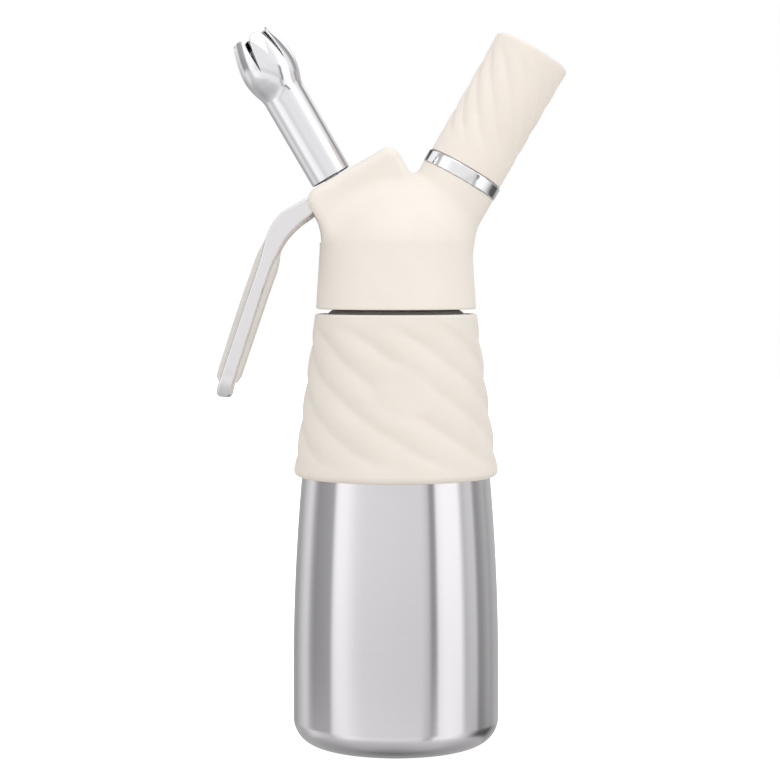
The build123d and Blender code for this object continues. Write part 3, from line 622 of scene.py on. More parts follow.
def add_piece(name: str, shape: Shape, look: Look, sharp: float = 38.0, merge: bool = False) -> bpy.types.Object:
    """Turns a shape into a piece of the scene.

    Args:
        name: Name of the piece.
        shape: Surface in the row frame, in millimetres.
        look: Body, slot, finish and the nodes it replaces.
        sharp: Angle in degrees past which an edge is shaded as a corner.
        merge: Whether points at one place become one.
    Returns:
        The new object.
    """
    mesh = bpy.data.meshes.new(name)
    totals = np.concatenate([np.full(len(group), group.shape[1]) for group in shape.faces])
    corners = np.concatenate([group.ravel() for group in shape.faces]).astype(np.int32)
    mesh.vertices.add(len(shape.points))
    mesh.loops.add(len(corners))
    mesh.polygons.add(len(totals))
    mesh.vertices.foreach_set("co", (shape.points * MM).astype(np.float32).ravel())
    mesh.loops.foreach_set("vertex_index", corners)
    mesh.polygons.foreach_set("loop_start", (np.cumsum(totals) - totals).astype(np.int32))
    mesh.polygons.foreach_set("use_smooth", np.ones(len(totals), bool))
    layer = mesh.uv_layers.new(name="UVMap")
    places = np.concatenate([group.reshape(-1, 2) for group in shape.uvs])
    layer.data.foreach_set("uv", places.astype(np.float32).ravel())
    mesh.update(calc_edges=True)
    mesh.validate()
    if merge:
        work = bmesh.new()
        work.from_mesh(mesh)
        bmesh.ops.remove_doubles(work, verts=work.verts, dist=0.002 * MM)
        work.to_mesh(mesh)
        work.free()
    mesh.set_sharp_from_angle(angle=math.radians(sharp))
    made = bpy.data.objects.new(name, mesh)
    bpy.context.scene.collection.objects.link(made)
    mesh.materials.append(dressed(look.finish))
    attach(made, look.body)
    if look.stands_for:
        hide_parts(*look.stands_for)
    LOG.info("%s: %d faces on %s, finish %s", name, len(mesh.polygons), look.body, look.finish.name)
    return made


def repaint(node: str, finish: MetalFinish | CoatFinish) -> None:
    """Gives a CAD node that keeps its own shape a node material.

    Args:
        node: Name of the CAD node.
        finish: Finish that it gets.
    """
    thing = frame["nodes"][node]
    thing.data.materials.clear()
    thing.data.materials.append(dressed(finish))
    LOG.info("%s: CAD node, finish %s", node, finish.name)


@dataclass(frozen=True)
class Turned:
    """A small turned or moulded part: a closed outline of (radius, height, corner radius) in an arm's frame."""

    name: str
    arm: Arm
    look: Look
    outline: tuple[tuple[float, float, float], ...]
    loop: bool = True
    pitch: float = 0.0
    depth: float = 0.0
    thread: tuple[float, float] = (0.0, 0.0)
    thread_radius: float = 0.0
    columns: int = 96

    def relief(self, turn: Array, radius: Array, height: Array) -> Array:
        """Screw thread cut into the surface at thread_radius between two heights, fading at its ends.

        Args:
            turn: Angle of each point round the axis, in radians.
            radius: Radius of each point before the relief.
            height: Height of each point along the axis.
        Returns:
            What is added to each radius.
        """
        low, high = self.thread
        fade = smooth_step(low, low + self.pitch, height) * smooth_step(-high, self.pitch - high, -height)
        at_surface = np.abs(radius - self.thread_radius) < ON_THREAD
        return self.depth * thread_wave(turn, height, self.pitch) * fade * at_surface

    def build(self) -> bpy.types.Object:
        """Makes the piece, with a thread where it has one.

        Returns:
            The new object.
        """
        profile = rounded(self.outline, loop=self.loop)
        if self.pitch:
            profile = dense(profile, self.pitch / 10, loop=self.loop)
        shape = revolved(profile, self.columns, self.relief if self.pitch else None, self.loop)
        return add_piece(self.name, shape.placed(self.arm), self.look)


# ---------------------------------------------------------------- bottle


@dataclass
class Bottle:
    """Drawn steel bottle with a rounded foot, a long tapering side, a tight shoulder and a threaded neck."""

    radius: float = 40.1
    wall: float = 1.2
    corner: float = 10.0
    belly: float = 27.0
    side_radius: float = 870.0
    shoulder_start: float = HEAD_BOTTOM - 7.337
    shoulder_radius: float = 9.75
    neck_radius: float = 23.7
    neck_bottom: float = HEAD_BOTTOM
    lip: float = LIP
    neck_wall: float = 1.5
    kick: float = 1.1
    thread_end: float = 2.0
    thread_depth: float = 0.6

    def side(self, height: Array) -> Array:
        """Radius of the side: a circle of 870 mm that touches the belly's upright run."""
        rise = np.maximum(height - self.belly, 0)
        return self.radius - self.side_radius + np.sqrt(self.side_radius ** 2 - rise ** 2)

    def thread(self, turn: Array, radius: Array, height: Array) -> Array:
        """Thread with one start cut into the neck, with its ends faded.

        Args:
            turn: Angle of each point round the axis, in radians.
            radius: Radius of each point before the relief.
            height: Height of each point above the floor.
        Returns:
            What is added to each radius.
        """
        on_neck = np.abs(radius - self.neck_radius) < ON_THREAD
        low, high = self.neck_bottom + NECK_START, self.lip - self.thread_end
        fade = smooth_step(low, low + NECK_FADE, height) * smooth_step(-high, NECK_FADE - high, -height)
        return -self.thread_depth * thread_wave(turn, height, NECK_PITCH) * fade * on_neck

    def outline(self) -> Array:
        """Closed half section: foot, corner arc, side arc, shoulder arc, neck, rolled lip and the inside.

        Returns:
            Radius and height of each point.
        """
        turn = math.asin((self.shoulder_start - self.belly) / self.side_radius)
        side_x = self.radius - self.side_radius
        shoulder_x = side_x + self.side_radius * math.cos(turn) - self.shoulder_radius * math.cos(turn)
        shoulder_z = self.shoulder_start - self.shoulder_radius * math.sin(turn)
        end = math.acos((self.neck_radius + 0.3 - shoulder_x) / self.shoulder_radius)
        runs = []
        for depth in (0.0, self.wall):
            corner_turn = np.linspace(-math.pi / 2, 0, 25)
            corner = self.corner - depth
            runs.append((np.stack([self.radius - self.corner + corner * np.cos(corner_turn),
                                   self.corner + corner * np.sin(corner_turn)], -1)))
            side_turn = np.linspace(0, turn, 60)
            runs.append(np.stack([side_x + (self.side_radius - depth) * np.cos(side_turn),
                                  self.belly + (self.side_radius - depth) * np.sin(side_turn)], -1))
            shoulder_turn = np.linspace(turn, end, 20)[1:]
            shoulder = self.shoulder_radius - depth
            runs.append(np.stack([shoulder_x + shoulder * np.cos(shoulder_turn),
                                  shoulder_z + shoulder * np.sin(shoulder_turn)], -1))
        outer = np.concatenate(runs[:3])
        inner = np.concatenate(runs[3:])[::-1]
        neck = rounded([(self.neck_radius, self.neck_bottom + 0.1, 0), (self.neck_radius, self.lip, 0.7),
                        (self.neck_radius - self.neck_wall, self.lip, 0.7),
                        (self.neck_radius - self.neck_wall, self.neck_bottom - 2.6, 0)], loop=False)
        foot_radius = self.radius - self.corner
        hollow = np.linspace(0, 1, 16)
        foot = np.stack([hollow * foot_radius, self.kick * (1 - smooth_step(0.72, 0.95, hollow))], -1)
        return np.concatenate([foot[:-1], outer, dense(neck, 0.3, loop=False), inner,
                               np.stack([foot[::-1, 0] * 0.999, foot[::-1, 1] + self.wall], -1)[1:]])

    def build(self) -> None:
        """Makes the shell as one surface from the middle of its foot to the middle of its inside."""
        outline = self.outline()
        shell = revolved(outline, 256, self.thread, loop=False)
        add_piece("steel_bottle", shell, Look("bottle", "brushed_steel", BRUSHED_STEEL, ("bottle_shell",)), 50)


@dataclass
class Sleeve:
    """Moulded silicone sleeve with ten soft flutes that wind down to the right, and a plain badge field."""

    bottom: float = float(node_box("bottle_sleeve")[0, 2])
    top: float = float(node_box("bottle_sleeve")[1, 2])
    bottom_radius: float = 40.06
    top_radius: float = 31.37
    rounding: float = 2.3
    fit: float = 0.05
    flutes: int = 10
    twist: float = 2.5
    depth: float = 1.25
    wind_drop: float = 19.4
    badge_drop: float = 29.4
    badge_size: tuple[float, float] = (21.0, 12.0)

    def relief(self, turn: Array, radius: Array, height: Array) -> Array:
        """Flutes: minus depth times one less the smoothed |sin| of the winding angle, faded at both rims.

        The winding angle grows by half a turn per flute, round the sleeve and 2.5 degrees per mm up it.
        The badge field is an oval on the front where the flutes fade to nothing.

        Args:
            turn: Angle of each point round the axis, in radians.
            radius: Radius of each point before the relief.
            height: Height of each point above the floor.
        Returns:
            What is added to each radius.
        """
        azimuth = (np.degrees(turn) + 90 + 180) % 360 - 180
        phase = math.pi * (azimuth + self.twist * (height - self.top + self.wind_drop)) * self.flutes / 360
        wave = np.sqrt(np.sin(phase) ** 2 + 0.05) / math.sqrt(1.05)
        fade = smooth_step(self.bottom + 3, self.bottom + 11, height)
        fade = fade * smooth_step(-self.top + 2, -self.top + 10, -height)
        wide, tall = self.badge_size
        oval = np.hypot((azimuth - 1) / wide, (height - self.top + self.badge_drop) / tall)
        field_fade = smooth_step(0.55, 1.15, oval)
        outside = smooth_step(0.5, 0.9, radius - Bottle().side(height))
        return -self.depth * ((1 - wave) * field_fade + 0.38 * (1 - field_fade)) * fade * outside

    def build(self) -> None:
        """Makes the sleeve as a closed band."""
        inner = Bottle()
        heights = np.linspace(self.top, self.bottom, 60)
        limit = inner.shoulder_start
        inside = np.where(heights > limit, inner.side(np.array(limit)), inner.side(heights)) + self.fit
        skin = rounded([(float(inside[-1]), self.bottom, 0), (self.bottom_radius, self.bottom, self.rounding),
                        (self.top_radius, self.top, 1.1), (float(inside[0]), self.top, 0)], loop=False, steps=8)
        skin = dense(skin, 0.55, loop=False)
        profile = np.concatenate([skin, np.stack([inside, heights], -1)[1:-1]])
        shape = revolved(profile, 384, self.relief)
        add_piece("silicone_sleeve", shape, Look("bottle", "soft_cream", CREAM_SILICONE, ("bottle_sleeve",)), 55)


# ---------------------------------------------------------------- head


def round_cut(a: Array, b: Array, radius: float) -> Array:
    """Distance to what lies in both of two solids, with the edge between them rounded."""
    inner = np.minimum(np.maximum(a + radius, b + radius), 0)
    return inner + np.hypot(np.maximum(a + radius, 0), np.maximum(b + radius, 0)) - radius


def round_join(a: Array, b: Array, radius: float) -> Array:
    """Distance to two solids together, with a fillet where they meet."""
    outer = np.maximum(np.minimum(a, b), radius)
    return outer - np.hypot(np.maximum(radius - a, 0), np.maximum(radius - b, 0))


def polygon_distance(x: Array, y: Array, corners: Sequence[tuple[float, float]]) -> Array:
    """Distance to a closed polygon, negative inside: the nearest edge, signed by the edges crossed.

    Args:
        x: First coordinate of each point.
        y: Second coordinate of each point.
        corners: Corners in order, the last joined to the first.
    Returns:
        The distance of each point.
    """
    nearest = np.full(x.shape, np.inf)
    inside = np.zeros(x.shape, bool)
    for (x0, y0), (x1, y1) in zip(corners, [*corners[1:], corners[0]]):
        ex, ey, px, py = x1 - x0, y1 - y0, x - x0, y - y0
        share = np.clip((px * ex + py * ey) / (ex * ex + ey * ey), 0, 1)
        nearest = np.minimum(nearest, np.hypot(px - share * ex, py - share * ey))
        if ey:
            inside ^= ((y0 > y) != (y1 > y)) & (x < x0 + (y - y0) * ex / ey)
    return np.where(inside, -nearest, nearest)


@dataclass
class Head:
    """Cast head: a round skirt, a flat-cheeked left arm and a round right arm, blended into one soft form."""

    bottom: float = HEAD_BOTTOM
    skirt_radius: float = 31.06
    skirt_top_radius: float = 29.4
    skirt_height: float = 26.0
    dome_centre: tuple[float, float] = (1.52, HEAD_BOTTOM + 20.692)
    dome_radius: float = 28.38
    bore: float = 24.2
    ceiling: float = LIP + 3.0
    left_top: float = 49.3
    left_outside: float = 13.0
    left_inside: float = 26.6
    flare: float = 0.3
    depth: float = 15.0
    apex_radius: float = 5.0
    cheek_radius: float = 3.5
    right_radius: float = 15.4
    right_top: float = 48.65
    blend: float = 5.0
    pivot: tuple[float, float] = (PIVOT_SIDE, PIVOT_HEIGHT)
    slot_half_width: float = 7.9
    slot: tuple[tuple[float, float], ...] = (
        (4.0, 3.9), (-53.7, 3.9), (-53.7, -13.9), (-27.7, -13.9), (-23.2, -11.0), (-4.0, -4.4), (4.0, -4.0))
    thread_end: float = 4.0
    thread_depth: float = 0.7
    flare_run: float = 18.3
    underside: tuple[float, float, float] = (-0.845, -0.535, 5.35)
    arm_start: float = 10.0
    skirt_edge: float = 0.7
    holder_edge: float = 0.4
    bore_edge: float = 0.45
    cell: float = 0.62
    evening: tuple[float, ...] = (0.5, 0.5, 0.3, 0.0)
    least_slope: float = 0.25
    longest_move: float = 0.4

    def skirt(self, points: Array) -> Array:
        """Distance to the skirt: below its top a slim cone, above it the ball of the shoulder.

        Args:
            points: Places in the row frame, one row each.
        Returns:
            The distance of each point, negative inside.
        """
        radius, height = np.hypot(points[:, 0], points[:, 1]), points[:, 2]
        slope = (self.skirt_radius - self.skirt_top_radius) / self.skirt_height
        side = radius - self.skirt_radius + slope * (height - self.bottom)
        ball = np.hypot(radius - self.dome_centre[0], height - self.dome_centre[1]) - self.dome_radius
        top = self.bottom + self.skirt_height
        shell = np.where(height > top, np.maximum(side, ball), side)
        return round_cut(shell, self.bottom - height, self.skirt_edge)

    def left_arm(self, local: Array) -> Array:
        """Distance to the left arm: flat faces with rounded edges, a 5 mm apex and a 5 mm outer corner.

        Args:
            local: Places in the left arm's frame, one row each.
        Returns:
            The distance of each point, negative inside.
        """
        side, across, height = local.T
        top = height - self.left_top
        outer = -side - self.left_outside - self.flare * (self.left_top - height) / self.flare_run
        side_share, height_share, offset = self.underside
        under = side_share * side + height_share * height + offset
        section = round_cut(round_cut(top, outer, self.apex_radius), side - self.left_inside, self.apex_radius)
        section = np.maximum(np.maximum(section, under), self.arm_start - height)
        return round_cut(section, np.abs(across) - self.depth, self.cheek_radius)

    def right_arm(self, local: Array) -> Array:
        """Distance to the right arm: a cylinder with a flat end for the ring.

        Args:
            local: Places in the right arm's frame, one row each.
        Returns:
            The distance of each point, negative inside.
        """
        radius = np.hypot(local[:, 0], local[:, 1])
        ends = np.maximum(local[:, 2] - self.right_top, self.arm_start - local[:, 2])
        return round_cut(radius - self.right_radius, ends, self.holder_edge)

    def bores(self, points: Array, left: Array, right: Array) -> Array:
        """Distance to all that is cut out: neck bore with its thread, valve, nozzle and gas bores, slot and pin.

        Args:
            points: Places in the row frame, one row each.
            left: The same places in the left arm's frame.
            right: The same places in the right arm's frame.
        Returns:
            The distance of each point, negative inside a bore.
        """
        def hole(radius: Array, height: Array, size: float, low: float, high: float) -> Array:
            """Distance to a round hole of a radius, between two heights along its axis."""
            return np.maximum(radius - size, np.maximum(low - height, height - high))

        axis = np.hypot(points[:, 0], points[:, 1])
        turn = np.arctan2(points[:, 1], points[:, 0])
        low, high = self.bottom + NECK_START, self.ceiling - self.thread_end
        height = points[:, 2]
        fade = smooth_step(low, low + NECK_FADE, height) * smooth_step(-high, NECK_FADE - high, -height)
        groove = self.thread_depth * thread_wave(turn, height, NECK_PITCH) * fade
        neck = np.maximum(axis - self.bore - groove, points[:, 2] - self.ceiling)
        on_left, on_right = np.hypot(left[:, 0], left[:, 1]), np.hypot(right[:, 0], right[:, 1])
        across, up = left[:, 0] - self.pivot[0], left[:, 2] - self.pivot[1]
        slot = np.maximum(polygon_distance(across, up, self.slot), np.abs(left[:, 1]) - self.slot_half_width)
        pin = hole(np.hypot(across, up), left[:, 1], 1.55, -10.5, 30.0)
        return np.minimum.reduce([
            neck, slot, pin,
            hole(on_left, left[:, 2], 6.4, 0.0, 21.0), hole(on_left, left[:, 2], 7.5, 21.0, 60.0),
            hole(on_left, left[:, 2], 8.65, 40.9, 60.0), hole(on_right, right[:, 2], 11.05, 34.0, 60.0),
            hole(on_right, right[:, 2], 4.4, 29.0, 34.0), hole(on_right, right[:, 2], 1.5, 0.0, 30.0)])

    def distance(self, points: Array) -> Array:
        """Distance to the head: skirt and arms joined with fillets, less the bores, with small edge rounding.

        Args:
            points: Places in the row frame, one row each.
        Returns:
            The distance of each point, negative in the metal.
        """
        left, right = LEFT.local(points), RIGHT.local(points)
        form = round_join(self.skirt(points), self.left_arm(left), self.blend)
        form = round_join(form, self.right_arm(right), self.blend)
        return round_cut(form, -self.bores(points, left, right), self.bore_edge)

    def slope(self, points: Array) -> Array:
        """Gradient of the distance by central differences.

        Args:
            points: Places in the row frame, one row each.
        Returns:
            The gradient, one row for each point.
        """
        step = 0.02
        shifts = np.eye(3) * step
        return np.stack([(self.distance(points + s) - self.distance(points - s)) / (2 * step) for s in shifts], -1)

    def surface(self) -> Shape:
        """Surface nets: one point in each cell of a grid that the zero of the distance crosses.

        Each point starts at the mean of the crossings on its cell's edges. Each grid edge with a crossing
        gives the quad of its four cells. The points are then evened out and moved down the gradient onto zero.

        Returns:
            The head's closed surface.
        """
        low, high = node_box("head_body") + np.array([[-2.0], [2.5]])
        counts = np.ceil((high - low) / self.cell).astype(int)
        axes = [low[k] + self.cell * np.arange(counts[k]) for k in range(3)]
        grid = np.stack(np.meshgrid(*axes, indexing="ij"), -1).reshape(-1, 3)
        values = np.concatenate([self.distance(part) for part in np.array_split(grid, 12)]).reshape(counts)
        inside = values < 0
        cells = np.zeros(counts - 1, int)
        offsets = np.array([(i, j, k) for i in (0, 1) for j in (0, 1) for k in (0, 1)])
        trimmed = [slice(0, -1), slice(1, None)]
        for i, j, k in offsets:
            cells += inside[trimmed[i], trimmed[j], trimmed[k]]
        active = np.argwhere((cells > 0) & (cells < 8))
        number = np.full(counts - 1, -1)
        number[tuple(active.T)] = np.arange(len(active))
        corner = np.stack([values[tuple((active + o).T)] for o in offsets], -1)
        total, hits = np.zeros((len(active), 3)), np.zeros((len(active), 1))
        for a in range(8):
            for b in range(a + 1, 8):
                if np.abs(offsets[a] - offsets[b]).sum() != 1:
                    continue
                crossed = (corner[:, a] < 0) != (corner[:, b] < 0)
                step = np.where(crossed, corner[:, a] - corner[:, b], 1)
                share = np.where(crossed, corner[:, a] / step, 0)[:, None]
                total += crossed[:, None] * (offsets[a] + share * (offsets[b] - offsets[a]))
                hits += crossed[:, None]
        points = low + self.cell * (active + total / hits)
        quads = []
        for axis in range(3):
            ahead = [slice(None)] * 3
            behind = [slice(None)] * 3
            ahead[axis], behind[axis] = slice(1, None), slice(0, -1)
            first, second = inside[tuple(behind)], inside[tuple(ahead)]
            u, v = (axis + 1) % 3, (axis + 2) % 3
            for flip, edges in ((False, first & ~second), (True, ~first & second)):
                place = np.argwhere(edges)
                place = place[(place[:, u] > 0) & (place[:, v] > 0)]
                around = []
                for du, dv in ((-1, -1), (0, -1), (0, 0), (-1, 0)):
                    cell = place.copy()
                    cell[:, u] += du
                    cell[:, v] += dv
                    around.append(number[tuple(cell.T)])
                quad = np.stack(around, -1)
                quads.append(quad[:, ::-1] if flip else quad)
        quads = np.concatenate(quads)
        points = self.settled(points, quads)
        return Shape(points, [quads], [points[quads][:, :, :2] * 0.01])

    def settled(self, points: Array, quads: Array) -> Array:
        """Points evened out over their neighbours and moved onto the surface, in four passes.

        A pass takes each point part of the way to its neighbours' mean, and then down the gradient by the
        distance over the squared slope. The last pass evens nothing out.

        Args:
            points: Places in the row frame, one row each.
            quads: Numbers of the four points of each face.
        Returns:
            The moved points, in the same order.
        """
        pairs = np.concatenate([quads[:, [0, 1]], quads[:, [1, 2]], quads[:, [2, 3]], quads[:, [3, 0]]])
        for even in self.evening:
            mean = np.zeros_like(points)
            for k in range(3):
                mean[:, k] = np.bincount(pairs[:, 0], points[pairs[:, 1], k], len(points))
                mean[:, k] += np.bincount(pairs[:, 1], points[pairs[:, 0], k], len(points))
            degree = np.bincount(pairs.ravel(), minlength=len(points))[:, None]
            points = points + even * (mean / np.maximum(degree, 1) - points)
            slope = self.slope(points)
            steep = np.maximum((slope ** 2).sum(1, keepdims=True), self.least_slope)
            move = self.distance(points)[:, None] * slope / steep
            length = np.linalg.norm(move, axis=1, keepdims=True)
            points = points - move * np.minimum(1, self.longest_move * self.cell / np.maximum(length, TINY))
        return points

    def build(self) -> None:
        """Makes the head."""
        add_piece("cast_head", self.surface(), Look("head", "cream_coating", CREAM_COAT, ("head_body",)), 42)


# ---------------------------------------------------------------- valve, lever and nozzle


@dataclass
class Valve:
    """Spring-loaded valve in the left arm: bush, stem, collar, spring, adaptor and their seals."""

    spring_radius: float = 5.0
    spring_wire: float = 0.8
    spring_low: float = 31.0
    spring_high: float = 38.9
    turns: float = 5.5

    def spring(self) -> Shape:
        """Round wire carried along a helix whose first and last turns lie close, with capped ends.

        Returns:
            The coil in the left arm's frame.
        """
        wire = self.spring_wire / 2
        share = np.linspace(0, 1, 260)
        room = self.spring_high - self.spring_low - 2 * wire
        closed = self.spring_wire * 1.02 / room
        climb = np.interp(share, [0, 0.16, 0.84, 1], [0, closed, 1 - closed, 1])
        turn = 2 * math.pi * self.turns * share
        middle = np.stack([self.spring_radius * np.cos(turn), self.spring_radius * np.sin(turn),
                           self.spring_low + wire + room * climb], -1)
        along = np.gradient(middle, axis=0)
        along /= np.linalg.norm(along, axis=1, keepdims=True)
        out = np.stack([np.cos(turn), np.sin(turn), 0 * turn], -1)
        side = np.cross(along, out)
        ring = np.linspace(0, 2 * math.pi, 13)[:-1]
        size = np.concatenate([[0.02], np.ones(len(share) - 2), [0.02]])[:, None, None] * wire
        points = middle[:, None] + size * (out[:, None] * np.cos(ring)[None, :, None]
                                           + side[:, None] * np.sin(ring)[None, :, None])
        return grid_shape(points, wrap_columns=True)

    def parts(self) -> list[Turned]:
        """The turned and moulded parts, from the inlet outwards.

        Returns:
            The parts, not yet built.
        """
        rubber = "seal_rubber"
        return [
            Turned("valve_bush_turned", LEFT, Look("head", "steel_part", TURNED_LEFT, ("valve_bush",)), (
                (4.2, 21.8, 0.2), (7.4, 21.8, 0.4), (7.4, 31.0, 0.5), (3.05, 31.0, 0.4), (3.05, 28.7, 0.1),
                (4.45, 28.7, 0.1), (4.45, 27.2, 0.1), (3.05, 27.2, 0.1), (3.05, 25.4, 0.2), (4.2, 25.4, 0.2)),
                pitch=1.5, depth=-0.35, thread=(22.5, 30.3), thread_radius=7.4),
            Turned("bush_seal_ring", LEFT, Look("head", rubber, SEAL_RUBBER, ("bush_seal",)), (
                (5.8, 21.0, 0.3), (7.4, 21.0, 0.3), (7.4, 21.8, 0.3), (5.8, 21.8, 0.3))),
            Turned("stem_seal_ring", LEFT, Look("head", rubber, SEAL_RUBBER, ("stem_seal",)), (
                (3.05, 27.3, 0.64), (4.35, 27.3, 0.64), (4.35, 28.6, 0.64), (3.05, 28.6, 0.64))),
            Turned("valve_stem_turned", LEFT, Look("stem", "steel_part", TURNED_LEFT, ("valve_stem",)), (
                (0.0, 18.8, 0), (4.6, 18.8, 0.3), (4.6, 20.2, 0.2), (3.0, 20.2, 0.1), (3.0, 50.6, 0.1),
                (2.7, 50.6, 0.1), (2.7, 59.6, 0.2), (2.0, 59.6, 0.2), (2.0, 21.8, 0.2), (0.0, 21.8, 0)), loop=False,
                pitch=1.0, depth=-0.2, thread=(36.0, 43.0), thread_radius=3.0, columns=64),
            Turned("poppet_seal_ring", LEFT, Look("stem", rubber, SEAL_RUBBER, ("poppet_seal",)), (
                (3.0, 20.2, 0.2), (5.0, 20.2, 0.5), (5.0, 21.8, 0.5), (3.0, 21.8, 0.2))),
            Turned("collar_nut", LEFT, Look("stem", "steel_part", TURNED_LEFT, ("stem_collar",)), (
                (3.0, 38.9, 0.2), (6.6, 38.9, 0.4), (6.6, 40.9, 0.4), (3.0, 40.9, 0.2))),
            Turned("nozzle_thread", LEFT, Look("stem", "steel_part", TURNED_LEFT, ("nozzle_adaptor",)), (
                (2.7, 50.6, 0.2), (6.8, 50.6, 0.4), (6.8, 59.6, 0.5), (2.7, 59.6, 0.2)),
                pitch=1.5, depth=-0.45, thread=(50.8, 59.4), thread_radius=6.8),
            Turned("nozzle_gasket_ring", LEFT, Look("nozzle", rubber, SEAL_RUBBER, ("nozzle_gasket",)), (
                (3.0, 59.6, 0.25), (6.8, 59.6, 0.25), (6.8, 60.6, 0.25), (3.0, 60.6, 0.25))),
        ]

    def build(self) -> None:
        """Makes every part, and the spring with a mesh of its own."""
        for part in self.parts():
            part.build()
        look = Look("head", "spring_steel", SPRING_WIRE, ("valve_spring",))
        coil = add_piece("return_spring", self.spring().placed(LEFT), look)
        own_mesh(coil)


